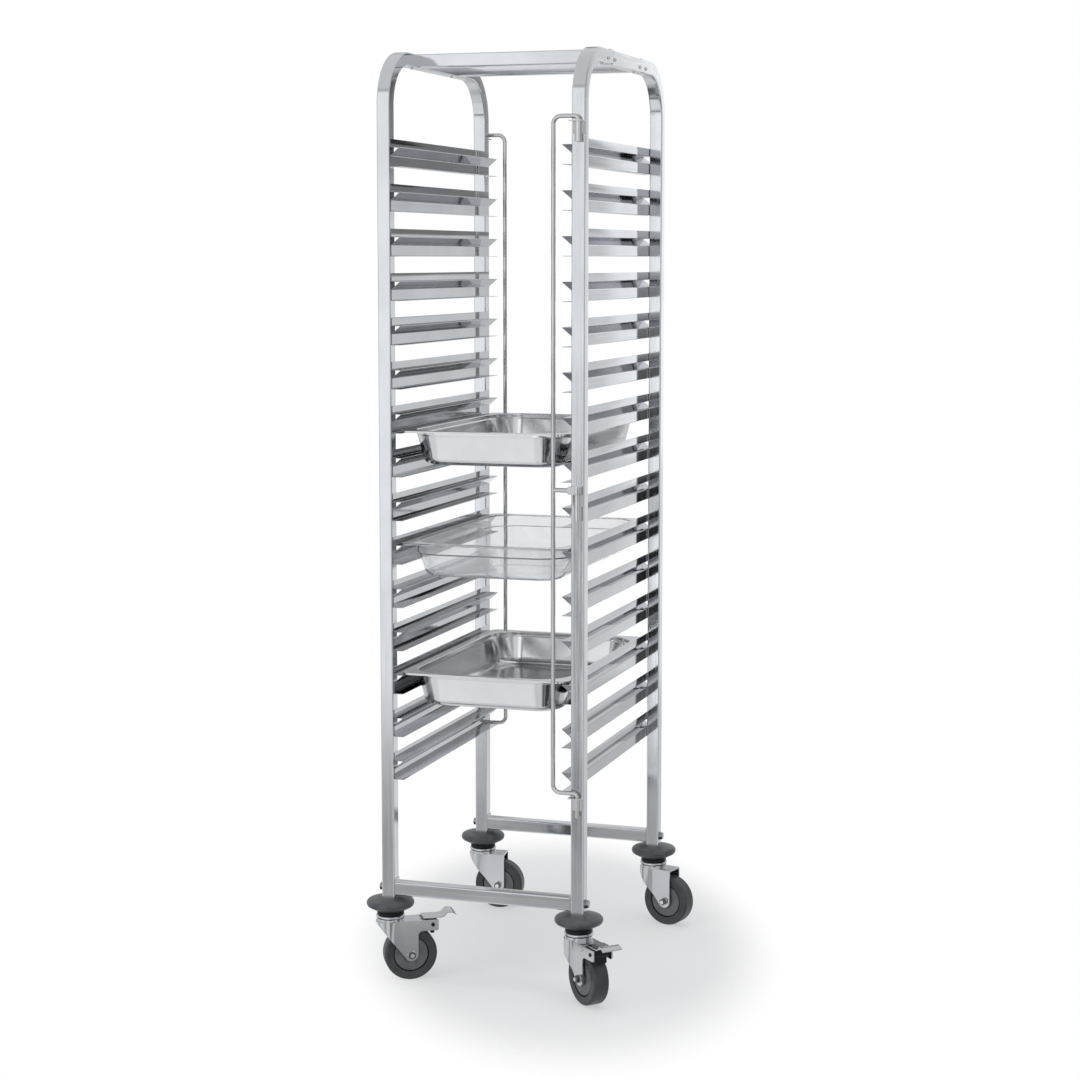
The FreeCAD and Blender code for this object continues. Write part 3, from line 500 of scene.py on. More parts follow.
RIM_WIDTH = 0.0125
PAN_CORNER = 0.060
RIM_CORNER = 0.018
RIM_ROUND = 0.0015
MOUTH_LIP = 0.0022
FLOOR_ROUND = 0.018
PAN_TAPER = 0.009
CORNER_STEPS = 14
SHOULDER_STEPS = 8
NEAR = 1e-5


def rounded_face(bm, half_x, half_y, corner):
    """A flat rectangle with round corners, lying on the origin."""
    bmesh.ops.create_grid(bm, x_segments=1, y_segments=1, size=1)
    bmesh.ops.scale(bm, verts=bm.verts[:], vec=(half_x, half_y, 1))
    bmesh.ops.bevel(
        bm, geom=bm.verts[:], offset=corner, affect="VERTICES", segments=CORNER_STEPS,
        profile=0.5, material=-1
    )
    return bm.faces[:]


def flare(bm, faces, centre, by, up):
    """Extrudes a round-cornered face upwards, its outline moved out from the corner centres."""
    faces = push(bm, faces, Matrix.Translation((0, 0, up)))
    for vert in faces[0].verts:
        middle = Vector([math.copysign(far, at) for far, at in zip(centre, vert.co)])
        out = (vert.co.xy - middle).normalized() * by
        vert.co.x += out.x
        vert.co.y += out.y
    return faces


def rim_edge(half_x, half_y, edge):
    """The rim's outer edge, rounded and turned down, as an open band."""
    rim = bmesh.new()
    radius = min(RIM_ROUND, edge / 2)
    top = rounded_face(rim, half_x - radius, half_y - radius, RIM_CORNER - radius)
    centre = (half_x - RIM_CORNER, half_y - RIM_CORNER)
    turn = arc((0, -radius), radius, 90, 0, 4)
    turn.append((radius, -edge))
    for before, after in zip(turn, turn[1:]):
        top = flare(rim, top, centre, after[0] - before[0], after[1] - before[1])
    bmesh.ops.delete(rim, geom=top, context="FACES_ONLY")
    lids = [f for f in rim.faces if f.calc_area() > half_x * half_y]
    bmesh.ops.delete(rim, geom=lids, context="FACES_ONLY")
    return rim


def pan(half_x, half_y, depth, wall, edge, shoulder, step, rise):
    """The top and inner surface of a pan whose rim's top face lies at height 0."""
    bm = bmesh.new()
    mouth_x = half_x - RIM_WIDTH - wall
    mouth_y = half_y - RIM_WIDTH - wall
    mouth_corner = PAN_CORNER - wall
    centre = (mouth_x - mouth_corner, mouth_y - mouth_corner)
    floor_round = FLOOR_ROUND - wall
    wall_corner = mouth_corner - step - PAN_TAPER
    start = wall_corner - floor_round
    faces = rounded_face(bm, centre[0] + start, centre[1] + start, start)
    bmesh.ops.translate(bm, verts=bm.verts[:], vec=(0, 0, wall - depth))
    path = arc((0, floor_round), floor_round, -90, 0, 7)
    path.append((floor_round + PAN_TAPER, depth - wall - shoulder))
    foot_x, foot_z = path[-1]
    for i in range(1, SHOULDER_STEPS + 1):
        share = i / SHOULDER_STEPS
        swing = (1 - math.cos(math.pi * share)) / 2
        path.append((foot_x + step * swing, foot_z + rise * share))
    path.append((floor_round + PAN_TAPER + step, depth - wall - MOUTH_LIP))
    path += arc((path[-1][0] + MOUTH_LIP, path[-1][1]), MOUTH_LIP, 180, 90, 4)[1:]
    for before, after in zip(path, path[1:]):
        faces = flare(bm, faces, centre, after[0] - before[0], after[1] - before[1])
    bmesh.ops.delete(bm, geom=faces, context="FACES_ONLY")
    join(bm, rim_edge(half_x, half_y, edge))
    open_edges = [e for e in bm.edges if len(e.link_faces) == 1]
    lips = [e for e in open_edges if all(abs(vert.co.z) < NEAR for vert in e.verts)]
    bmesh.ops.bridge_loops(bm, edges=lips)
    return bm


def clear_plastic(name):
    """Clear moulded plastic with faint scuffs from stacking."""
    material = bpy.data.materials.new(name)
    material.use_nodes = True
    nodes = material.node_tree.nodes
    links = material.node_tree.links
    shader = nodes["Principled BSDF"]
    shader.inputs["Base Color"].default_value = (0.9, 0.91, 0.925, 1)
    shader.inputs["IOR"].default_value = 1.45
    shader.inputs["Transmission Weight"].default_value = 0.9
    place = nodes.new("ShaderNodeTexCoord")
    scuffs = nodes.new("ShaderNodeTexNoise")
    scuffs.inputs["Scale"].default_value = 45.0
    scuffs.inputs["Detail"].default_value = 6.0
    links.new(place.outputs["Object"], scuffs.inputs["Vector"])
    haze = nodes.new("ShaderNodeMapRange")
    haze.inputs["From Min"].default_value = 0.45
    haze.inputs["From Max"].default_value = 0.75
    haze.inputs["To Min"].default_value = 0.02
    haze.inputs["To Max"].default_value = 0.09
    links.new(scuffs.outputs["Fac"], haze.inputs["Value"])
    links.new(haze.outputs["Result"], shader.inputs["Roughness"])
    return material


pan_steel = steel("pan_steel", (0.77, 0.77, 0.78), (0.12, 0.19), 40, (1, 1, 1), 0.02)
pan_clear = clear_plastic("pan_clear")
STEEL_PAN = {"wall": 0.0008, "edge": 0.004, "shoulder": 0.012, "step": 0.0015, "rise": 0.005}
CLEAR_PAN = {"wall": 0.0022, "edge": 0.0035, "shoulder": 0.022, "step": 0.003, "rise": 0.002}
PANS = (
    ("upper", "pan_upper_steel", STEEL_PAN, pan_steel, "pan_steel"),
    ("middle", "pan_middle_clear", CLEAR_PAN, pan_clear, "pan_clear"),
    ("lower", "pan_lower_steel", STEEL_PAN, pan_steel, "pan_steel"),
)
for place, node, make, finish, slot in PANS:
    low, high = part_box(node)
    bm = pan(high.x, high.y, high.z - low.z, **make)
    bmesh.ops.translate(bm, verts=bm.verts[:], vec=(0, 0, high.z))
    bmesh.ops.remove_doubles(bm, verts=bm.verts[:], dist=MERGE)
    bmesh.ops.recalc_face_normals(bm, faces=bm.faces[:])
    floor_face = min(bm.faces, key=lambda face: face.calc_center_median().z)
    side = -1 if floor_face.normal.z > 0 else 1
    name = f"drawn_pan_{place}"
    wall = make["wall"]
    set_piece(bm, name, finish, f"pan_{place}", [node], smooth=50, wall=wall, side=side)


# Retaining bars
# A long rod of round stainless bar at each end of the trolley, bent inwards at both ends and
# down into a hinge sleeve, with a third arm half way up that ends in a small solid block.

ROD_RADIUS = 0.004
ROD_EDGE = 0.0006
ROD_END_SHARE = 0.1
ROD_BEND = 0.014
ROD_BEND_STEPS = 10
PIN_BEND = 0.008
PIN_BEND_STEPS = 8
TOP_ARM = 1.605
MIDDLE_ARM = 0.941
BOTTOM_ARM = 0.388
TOP_PIN = 0.043
MIDDLE_PIN = 0.052
BLOCK_REACH = 0.017
BLOCK_HALF = 0.0068
BLOCK_HEIGHT = 0.014
BLOCK_EDGE = 0.0006


def rod_end(bm, radius, steps):
    """A flat disc that a rod grows from, lying on the origin."""
    bmesh.ops.create_circle(bm, cap_ends=True, segments=steps, radius=radius)
    return bm.faces[:]


def retaining_rod(bm, hinge_x, rod_x, low, high):
    """The rod and its outer arms, from the top pin to the bottom one, in the plane y = 0."""
    part = bmesh.new()
    face = rod_end(part, ROD_RADIUS, 20)
    bmesh.ops.translate(part, verts=part.verts[:], vec=(hinge_x, 0, high))
    face = push(part, face, Matrix.Translation((0, 0, TOP_ARM - PIN_BEND - high)))
    pin_side = (hinge_x - PIN_BEND, 0, TOP_ARM - PIN_BEND)
    face = bend(part, face, pin_side, "Y", -90, PIN_BEND_STEPS)
    along = rod_x + ROD_BEND - (hinge_x - PIN_BEND)
    face = push(part, face, Matrix.Translation((along, 0, 0)))
    rod_side = (rod_x + ROD_BEND, 0, TOP_ARM - ROD_BEND)
    face = bend(part, face, rod_side, "Y", -90, ROD_BEND_STEPS)
    face = push(part, face, Matrix.Translation((0, 0, BOTTOM_ARM - TOP_ARM + 2 * ROD_BEND)))
    rod_side = (rod_x + ROD_BEND, 0, BOTTOM_ARM + ROD_BEND)
    face = bend(part, face, rod_side, "Y", -90, ROD_BEND_STEPS)
    face = push(part, face, Matrix.Translation((-along, 0, 0)))
    pin_side = (hinge_x - PIN_BEND, 0, BOTTOM_ARM - PIN_BEND)
    face = bend(part, face, pin_side, "Y", 90, PIN_BEND_STEPS)
    push(part, face, Matrix.Translation((0, 0, low - BOTTOM_ARM + PIN_BEND)))
    softened(part, ROD_EDGE, 2, 60)
    join(bm, part)


def rod_between(bm, start, end, radius):
    """A plain round rod with softened ends between two points."""
    part = bmesh.new()
    along = Vector(end) - Vector(start)
    face = rod_end(part, radius, 32)
    push(part, face, Matrix.Translation((0, 0, along.length)))
    softened(part, ROD_END_SHARE * radius, 2, 60)
    bmesh.ops.transform(part, matrix=turned_to(along, start), verts=part.verts[:])
    join(bm, part)


def hinge_block(bm, hinge_x, height):
    """Small block with a round tail, which rests on the middle sleeve."""
    part = bmesh.new()
    rod_end(part, BLOCK_HALF, 32)
    for vert in part.verts:
        if vert.co.x < -NEAR:
            vert.co.x = -BLOCK_REACH
    push(part, part.faces[:], Matrix.Translation((0, 0, BLOCK_HEIGHT)))
    bmesh.ops.translate(part, verts=part.verts[:], vec=(hinge_x, 0, height - BLOCK_HEIGHT / 2))
    softened(part, BLOCK_EDGE, 2, 40)
    join(bm, part)


rod_steel = steel("rod_steel", (0.60, 0.60, 0.60), (0.1, 0.2), 500, (1, 1, 0.04))
bar_low, bar_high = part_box("retaining_bar_front")
HINGE_Y = (bar_low.y + bar_high.y) / 2
ROD_X = bar_low.x + ROD_RADIUS
HINGE_X = bar_high.x - BLOCK_HALF
for end, turn in (("front", 0), ("rear", 180)):
    bm = bmesh.new()
    retaining_rod(bm, HINGE_X, ROD_X, bar_low.z, TOP_ARM - TOP_PIN)
    inside_block = HINGE_X - BLOCK_REACH + ROD_RADIUS
    rod_between(bm, (ROD_X, 0, MIDDLE_ARM), (inside_block, 0, MIDDLE_ARM), ROD_RADIUS)
    hinge_block(bm, HINGE_X, MIDDLE_ARM)
    rod_between(bm, (HINGE_X, 0, MIDDLE_ARM - MIDDLE_PIN), (HINGE_X, 0, MIDDLE_ARM), ROD_RADIUS)
    bmesh.ops.translate(bm, verts=bm.verts[:], vec=(0, HINGE_Y, 0))
    matrix = Matrix.Rotation(math.radians(turn), 4, "Z")
    bmesh.ops.transform(bm, matrix=matrix, verts=bm.verts[:])
    node = f"retaining_bar_{end}"
    set_piece(bm, f"bent_rod_{end}", rod_steel, f"bar_{end}", [node])


# Brackets of the retaining bars
# Three sleeves down each hinge leg, welded to tapered saddles. The top and the bottom one
# have a thin plate over them that the rod passes through.

SLEEVE_RADIUS = 0.0065
SLEEVE_ROOM = 0.0001
SLEEVE_EDGE = 0.0005
SLEEVE_GAP = 0.0003
TOP_SLEEVE = 0.036
MIDDLE_SLEEVE = 0.048
SADDLE_HALF = 0.012
SADDLE_HEIGHT = 0.022
SADDLE_EDGE = 0.0005
EYE_PLATE = 0.002
EYE_CORNER = 0.002
EYE_EDGE = 0.0003
EYE_LIFT = 0.0007
LEG_FACE = leg_low.y
OUTER_X = -leg_low.x


def saddle(bm, top):
    """Tapered block between the leg's face and the sleeve."""
    part = bmesh.new()
    right = min(HINGE_X + SADDLE_HALF, OUTER_X)
    outline = [
        (HINGE_X - SADDLE_HALF, LEG_FACE),
        (HINGE_X - SLEEVE_RADIUS, HINGE_Y),
        (HINGE_X + SLEEVE_RADIUS, HINGE_Y),
        (right, LEG_FACE),
    ]
    part.faces.new([part.verts.new((x, y, top - SADDLE_HEIGHT)) for x, y in outline])
    push(part, part.faces[:], Matrix.Translation((0, 0, SADDLE_HEIGHT)))
    softened(part, SADDLE_EDGE)
    join(bm, part)


def eye_plate(bm, top, low, high):
    """Thin plate with softened corners over a sleeve."""
    part = bmesh.new()
    size = Vector(high) - Vector(low)
    bmesh.ops.create_cube(part, size=1)
    bmesh.ops.scale(part, verts=part.verts[:], vec=(size.x, size.y, EYE_PLATE))
    upright = [e for e in part.edges if abs(e.verts[0].co.z - e.verts[1].co.z) > EYE_PLATE / 2]
    bmesh.ops.bevel(
        part, geom=upright, offset=EYE_CORNER, affect="EDGES", segments=4, profile=0.5,
        material=-1
    )
    softened(part, EYE_EDGE)
    middle = (Vector(low) + Vector(high)) / 2
    bmesh.ops.translate(part, verts=part.verts[:], vec=(middle.x, middle.y, top - EYE_PLATE / 2))
    join(bm, part)


def sleeve(bm, top, length):
    """Drawn sleeve with softened ends round the hinge axis."""
    part = bmesh.new()
    bore = ROD_RADIUS + SLEEVE_ROOM
    lathe(part, [(bore, 0), (SLEEVE_RADIUS, 0), (SLEEVE_RADIUS, length), (bore, length)], 32)
    softened(part, SLEEVE_EDGE, 2, 60)
    bmesh.ops.translate(part, verts=part.verts[:], vec=(HINGE_X, HINGE_Y, top - length))
    join(bm, part)


bracket_steel = steel("bracket_steel", (0.62, 0.62, 0.63), (0.1, 0.22), 700)
bracket_low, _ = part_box("bar_brackets_front")
for end, turn in (("front", 0), ("rear", 180)):
    bm = bmesh.new()
    for arm, length in ((TOP_ARM, TOP_SLEEVE), (BOTTOM_ARM, SADDLE_HEIGHT)):
        plate_top = arm - PIN_BEND + EYE_LIFT
        seat = plate_top - EYE_PLATE
        eye_plate(bm, plate_top, (bracket_low.x, bracket_low.y), (OUTER_X, LEG_FACE))
        saddle(bm, seat)
        sleeve(bm, seat, length)
    middle_top = MIDDLE_ARM - BLOCK_HEIGHT / 2 - SLEEVE_GAP
    saddle(bm, middle_top)
    sleeve(bm, middle_top, MIDDLE_SLEEVE)
    matrix = Matrix.Rotation(math.radians(turn), 4, "Z")
    bmesh.ops.transform(bm, matrix=matrix, verts=bm.verts[:])
    node = f"bar_brackets_{end}"
    set_piece(bm, f"hinge_brackets_{end}", bracket_steel, "frame", [node])


# Bumpers
# A disc of grey rubber with sloping faces and a round rim between each leg and its caster, which
# keeps the frame off walls and door posts. A ring seal sits under it, its near-black colour
# partly painted shade for the dark under the bumper's rim.

BUMPER_RADIUS = 0.045
BUMPER_SEAT = 0.022
BUMPER_FOOT = 0.024
BUMPER_RIM = 0.0075
BUMPER_SHOULDER = 0.0115
RIM_SWEEP = (-62, 76)
SEAL_RADIUS = 0.0255
SEAL_HEIGHT = 0.006
SEAL_EDGE = 0.0008
BORE_RADIUS = 0.0063
DUST_SHARES = (0.82, 1.12)
PORE_DEPTH = 0.0002

joints = {joint["name"]: joint for joint in frame["joints"]}


def stem_place(corner):
    """The matrix that puts a piece under the leg of a corner, unturned."""
    x, y, _ = joints[f"caster_swivel_{corner}"]["pos_m"]
    return Matrix.Translation((x, y, 0))


def rubber(name, colour, rough, pores, shine):
    """Moulded rubber with a fine matt skin and a little dust in it."""
    material = bpy.data.materials.new(name)
    material.use_nodes = True
    nodes = material.node_tree.nodes
    links = material.node_tree.links
    shader = nodes["Principled BSDF"]
    place = nodes.new("ShaderNodeTexCoord")
    dust = nodes.new("ShaderNodeTexNoise")
    dust.inputs["Scale"].default_value = 60.0
    dust.inputs["Detail"].default_value = 5.0
    links.new(place.outputs["Object"], dust.inputs["Vector"])
    tint = nodes.new("ShaderNodeValToRGB")
    tint.color_ramp.elements[0].position = 0.35
    tint.color_ramp.elements[0].color = (*[DUST_SHARES[0] * c for c in colour], 1)
    tint.color_ramp.elements[1].position = 0.7
    tint.color_ramp.elements[1].color = (*[DUST_SHARES[1] * c for c in colour], 1)
    links.new(dust.outputs["Fac"], tint.inputs["Fac"])
    links.new(tint.outputs["Color"], shader.inputs["Base Color"])
    skin = nodes.new("ShaderNodeTexVoronoi")
    skin.inputs["Scale"].default_value = pores
    links.new(place.outputs["Object"], skin.inputs["Vector"])
    relief = nodes.new("ShaderNodeBump")
    relief.inputs["Strength"].default_value = 0.15
    relief.inputs["Distance"].default_value = PORE_DEPTH
    links.new(skin.outputs["Distance"], relief.inputs["Height"])
    links.new(relief.outputs["Normal"], shader.inputs["Normal"])
    shader.inputs["Roughness"].default_value = rough
    shader.inputs["Specular IOR Level"].default_value = shine
    return material


bumper_rubber = rubber("bumper_rubber", (0.05, 0.055, 0.059), 0.34, 1800, 0.5)
# The seal is a real black ring, and its near-black colour is partly painted shade for the dark
# under the bumper.
seal_rubber_and_shade = rubber("seal_rubber_and_shade", (0.008, 0.008, 0.008), 0.4, 1800, 0.2)
for corner in CORNERS:
    node = f"bumper_{corner}"
    low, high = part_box(node)
    bottom = low.z + SEAL_HEIGHT
    rim = arc((BUMPER_RADIUS - BUMPER_RIM, high.z - BUMPER_SHOULDER), BUMPER_RIM, *RIM_SWEEP, 20)
    outline = [(BORE_RADIUS, bottom), (BUMPER_FOOT, bottom), *rim]
    outline += [(BUMPER_SEAT, high.z), (BORE_RADIUS, high.z)]
    bm = bmesh.new()
    lathe(bm, outline, 80)
    bmesh.ops.transform(bm, matrix=stem_place(corner), verts=bm.verts[:])
    set_piece(bm, f"bumper_disc_{corner}", bumper_rubber, "frame", [node])
    bm = bmesh.new()
    ring = [(BORE_RADIUS, low.z), (SEAL_RADIUS, low.z)]
    ring += [(SEAL_RADIUS, bottom), (BORE_RADIUS, bottom)]
    lathe(bm, ring)
    softened(bm, SEAL_EDGE, 3)
    bmesh.ops.transform(bm, matrix=stem_place(corner), verts=bm.verts[:])
    set_piece(bm, f"ring_seal_{corner}", seal_rubber_and_shade, "frame")


# Swivel heads
# A plated pressed race over each fork, on a pin that runs up into a plug in the leg. Its
# rolled edge stands a hair above the race on the fork.

RACE_RADIUS = 0.0275
RACE_BOTTOM = 0.1205
RACE_TOP = 0.127
CROWN_SHARE = 1.4
PIN_RADIUS = 0.006
PIN_OVERLAP = 0.001
PIN_HEAD_RADIUS = 0.010
PIN_HEAD_LOW = 0.1071
PIN_HEAD_HIGH = 0.1121
PIN_HEAD_EDGE = 0.0005

plated_steel = steel("plated_steel", (0.63, 0.64, 0.66), (0.08, 0.17), 500)
for corner in CORNERS:
    bm = bmesh.new()
    mid = (RACE_BOTTOM + RACE_TOP) / 2
    roll = (RACE_TOP - RACE_BOTTOM) / 2
    outline = [
        (PIN_RADIUS, RACE_BOTTOM),
        *arc((RACE_RADIUS - roll, mid), roll, -90, 90, 10),
        (RACE_RADIUS - CROWN_SHARE * roll, RACE_TOP),
        (PIN_RADIUS, RACE_TOP),
    ]
    lathe(bm, outline, 72)
    part = bmesh.new()
    head = [
        (0, PIN_HEAD_LOW),
        (PIN_HEAD_RADIUS, PIN_HEAD_LOW),
        (PIN_HEAD_RADIUS, PIN_HEAD_HIGH),
        (PIN_RADIUS, PIN_HEAD_HIGH),
        (PIN_RADIUS, RACE_BOTTOM + PIN_OVERLAP),
        (0, RACE_BOTTOM + PIN_OVERLAP),
    ]
    lathe(part, head, 32)
    softened(part, PIN_HEAD_EDGE)
    join(bm, part)
    bmesh.ops.transform(bm, matrix=stem_place(corner), verts=bm.verts[:])
    node = f"caster_stem_{corner}"
    set_piece(bm, f"swivel_head_{corner}", plated_steel, "frame", [node])


# Caster forks
# Pressed from thick sheet and plated: a round crown over the swivel, folded down into two
# cheeks that hold the axle. On the front ones the cheeks run back into lugs for the brake.

FORK_EDGE = 0.0007
COPY_MERGE = 2e-5


def caster_place(corner):
    """The matrix that turns a piece to its caster's heading and puts it under the leg."""
    across, along, _ = joints[f"wheel_spin_{corner}"]["axis"]
    return stem_place(corner) @ Matrix.Rotation(math.atan2(-across, along), 4, "Z")


def pressed_copy(node, edge):
    """A merged copy of a pressed piece's solid, with its edges rounded."""
    bm = bmesh.new()
    bm.from_mesh(frame["nodes"][node].data)
    bmesh.ops.remove_doubles(bm, verts=bm.verts[:], dist=COPY_MERGE)
    bmesh.ops.dissolve_limit(
        bm, angle_limit=math.radians(1), verts=bm.verts[:], edges=bm.edges[:]
    )
    softened(bm, edge, 2, 35)
    return bm


for corner in CORNERS:
    node = f"caster_fork_{corner}"
    bm = pressed_copy(node, FORK_EDGE)
    set_piece(
        bm, f"pressed_fork_{corner}", plated_steel, f"caster_{corner}", [node]
    )


# Axles
# A bright hexagon bolt through both cheeks and the wheel's boss, with a washer and a nut on
# its far end. The nut is painted dark all over to stand in for the shade round its edge.

FORK_HALF = 0.0205
AXLE_RADIUS = 0.004
AXLE_HEIGHT = 0.050
TRAIL = 0.0365
AXLE_HEAD = 0.0055
AXLE_NUT = 0.0065
AXLE_END = 0.003
AXLE_WASHER_RADIUS = 0.008
AXLE_WASHER_HEIGHT = 0.0012

# The nut's near-black colour is painted shade: it stands in for the dark outline round the nut.
nut_painted_shade_steel = steel("nut_painted_shade_steel", (0.16, 0.16, 0.165), (0.14, 0.3), 900)
for corner in CORNERS:
    bm = bmesh.new()
    washer_top = FORK_HALF + AXLE_WASHER_HEIGHT
    disc(bm, AXLE_WASHER_RADIUS, FORK_HALF, washer_top, WASHER_EDGE)
    tip = FORK_HALF + AXLE_NUT + AXLE_END
    rod_between(bm, (0, 0, -FORK_HALF), (0, 0, tip), AXLE_RADIUS)
    part = bmesh.new()
    hexagon(part, BOLT_FLATS, AXLE_HEAD, 0)
    bmesh.ops.transform(
        part, matrix=turned_to((0, 0, -1), (0, 0, -FORK_HALF)), verts=part.verts[:]
    )
    join(bm, part)
    laid = caster_place(corner) @ turned_to((0, -1, 0), (TRAIL, 0, AXLE_HEIGHT))
    bmesh.ops.transform(bm, matrix=laid, verts=bm.verts[:])
    node = f"wheel_axle_{corner}"
    set_piece(bm, f"axle_bolt_{corner}", screw_steel, f"caster_{corner}", [node])
    bm = bmesh.new()
    hexagon(bm, BOLT_FLATS, AXLE_NUT - AXLE_WASHER_HEIGHT, washer_top)
    bmesh.ops.transform(bm, matrix=laid, verts=bm.verts[:])
    set_piece(bm, f"axle_nut_{corner}", nut_painted_shade_steel, f"caster_{corner}")


# Wheels
# A grey rubber tyre with round shoulders, moulded on to a harder grey centre that has a deep
# ring round its boss.

WHEEL_RADIUS = 0.050
TYRE_HALF = 0.016
SEAT_RADIUS = 0.0341
TYRE_SHOULDER = 0.005
TYRE_LIP = 0.0015
HUB_FACE = 0.0135
HUB_GROOVE = 0.0088
HUB_RADIUS = 0.0314
HUB_STEP = 0.001
HUB_STEP_FROM = 0.014
HUB_STEP_TO = 0.016
HUB_EDGE = 0.0006
BOSS_RADIUS = 0.009
BOSS_HALF = 0.0177
BOSS_ROOM = 0.0001
TYRE_ROOM = 0.0002

tyre_rubber = rubber("tyre_rubber", (0.036, 0.038, 0.041), 0.42, 1500, 0.4)
hub_plastic = rubber("hub_plastic", (0.1, 0.104, 0.108), 0.38, 2600, 0.4)
for corner in CORNERS:
    laid = caster_place(corner) @ turned_to((0, -1, 0), (TRAIL, 0, AXLE_HEIGHT))
    inner = WHEEL_RADIUS - TYRE_SHOULDER
    side = TYRE_HALF - TYRE_SHOULDER
    outline = [
        (SEAT_RADIUS, TYRE_LIP - TYRE_HALF),
        *arc((inner, -side), TYRE_SHOULDER, -90, 0, 8),
        (WHEEL_RADIUS, 0),
        *arc((inner, side), TYRE_SHOULDER, 0, 90, 8),
        (SEAT_RADIUS, TYRE_HALF - TYRE_LIP),
    ]
    bm = bmesh.new()
    lathe(bm, outline, 96)
    bmesh.ops.transform(bm, matrix=laid, verts=bm.verts[:])
    node = f"tyre_{corner}"
    set_piece(bm, f"rubber_tyre_{corner}", tyre_rubber, f"wheel_{corner}", [node])
    half = [
        (AXLE_RADIUS + BOSS_ROOM, BOSS_HALF),
        (BOSS_RADIUS, BOSS_HALF),
        (BOSS_RADIUS + HUB_STEP, HUB_FACE - HUB_STEP),
        (HUB_STEP_FROM, HUB_FACE - HUB_STEP),
        (HUB_STEP_TO, HUB_FACE),
        (HUB_RADIUS, HUB_FACE),
        (HUB_RADIUS + HUB_EDGE, HUB_GROOVE),
        (SEAT_RADIUS - TYRE_ROOM, HUB_GROOVE),
    ]
    bm = bmesh.new()
    lathe(bm, half + [(radius, -height) for radius, height in half[::-1]], 96)
    softened(bm, HUB_EDGE, 2, 25)
    bmesh.ops.transform(bm, matrix=laid, verts=bm.verts[:])
    node = f"wheel_core_{corner}"
    set_piece(
        bm, f"wheel_centre_{corner}", hub_plastic, f"wheel_{corner}", [node]
    )


# Brake pedals
# A pressed and plated pedal over the lugs of each front fork, dished at its end for a foot.
# It is riveted to a black block between the lugs, whose arm swings on to the tyre.

PEDAL_UNDERSIDE = 0.1168
PEDAL_EDGE = 0.0005


def cut_level(bm, height, keep_above):
    """Keeps the part of a closed mesh above or below a height, and closes the cut."""
    cut = bmesh.ops.bisect_plane(
        bm, geom=[*bm.verts, *bm.edges, *bm.faces], plane_co=(0, 0, height),
        plane_no=(0, 0, 1), clear_inner=keep_above, clear_outer=not keep_above
    )
    edges = [item for item in cut["geom_cut"] if isinstance(item, bmesh.types.BMEdge)]
    bmesh.ops.holes_fill(bm, edges=edges)


block_black = rubber("block_black", (0.008, 0.008, 0.009), 0.35, 1200, 0.25)
for corner in ("front_left", "front_right"):
    node = f"brake_pedal_{corner}"
    bm = pressed_copy(node, PEDAL_EDGE)
    cut_level(bm, PEDAL_UNDERSIDE, True)
    set_piece(bm, f"foot_pedal_{corner}", plated_steel, f"pedal_{corner}", [node])
    bm = pressed_copy(node, PEDAL_EDGE)
    cut_level(bm, PEDAL_UNDERSIDE, False)
    set_piece(bm, f"brake_block_{corner}", block_black, f"pedal_{corner}")


# Studio
# A pale oval of floor that fades out to white, a room of light and dark cards for the steel to
# mirror, large soft lights and the photograph's viewpoint.

FLOOR_PLACE = (0.04, 0.10, 0)
FLOOR_SPREAD = (0.42, 0.80)
FLOOR_TURN = 20
FLOOR_RADIUS = 1.2
FLOOR_FADE = (0.68, 1.05)

bm = bmesh.new()
bmesh.ops.create_circle(bm, cap_ends=True, segments=96, radius=FLOOR_RADIUS)
floor_mesh = bpy.data.meshes.new("floor")
bm.to_mesh(floor_mesh)
bm.free()
floor = bpy.data.objects.new("floor", floor_mesh)
bpy.context.collection.objects.link(floor)
floor.location = FLOOR_PLACE
floor.rotation_euler = (0, 0, math.radians(FLOOR_TURN))
floor.scale = (*FLOOR_SPREAD, 1)
paper = bpy.data.materials.new("pale_floor")
paper.use_nodes = True
nodes = paper.node_tree.nodes
links = paper.node_tree.links
matt = nodes["Principled BSDF"]
matt.inputs["Base Color"].default_value = (0.2, 0.2, 0.202, 1)
matt.inputs["Emission Color"].default_value = (0.99, 0.995, 1, 1)
matt.inputs["Emission Strength"].default_value = 0.5
matt.inputs["Roughness"].default_value = 0.8
floor_place = nodes.new("ShaderNodeTexCoord")
away = nodes.new("ShaderNodeVectorMath")
away.operation = "LENGTH"
links.new(floor_place.outputs["Object"], away.inputs[0])
fade = nodes.new("ShaderNodeMapRange")
fade.interpolation_type = "SMOOTHSTEP"
fade.inputs["From Min"].default_value = FLOOR_FADE[0]
fade.inputs["From Max"].default_value = FLOOR_FADE[1]
links.new(away.outputs["Value"], fade.inputs["Value"])
clear_edge = nodes.new("ShaderNodeBsdfTransparent")
edge_mix = nodes.new("ShaderNodeMixShader")
links.new(fade.outputs["Result"], edge_mix.inputs["Fac"])
links.new(matt.outputs["BSDF"], edge_mix.inputs[1])
links.new(clear_edge.outputs["BSDF"], edge_mix.inputs[2])
links.new(edge_mix.outputs["Shader"], nodes["Material Output"].inputs["Surface"])
floor_mesh.materials.append(paper)
floor.visible_glossy = False
floor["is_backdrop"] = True

world = bpy.data.worlds.new("studio")
bpy.context.scene.world = world
world.use_nodes = True
nodes = world.node_tree.nodes
links = world.node_tree.links
nodes.clear()
look = nodes.new("ShaderNodeTexCoord")
towards = nodes.new("ShaderNodeSeparateXYZ")
links.new(look.outputs["Generated"], towards.inputs["Vector"])


def world_math(kind, first, second):
    """A math node in the studio's surroundings, with each input a number or another output."""
    node = nodes.new("ShaderNodeMath")
    node.operation = kind
    for socket, value in zip(node.inputs, (first, second)):
        if isinstance(value, (int, float)):
            socket.default_value = value
        else:
            links.new(value, socket)
    return node.outputs["Value"]


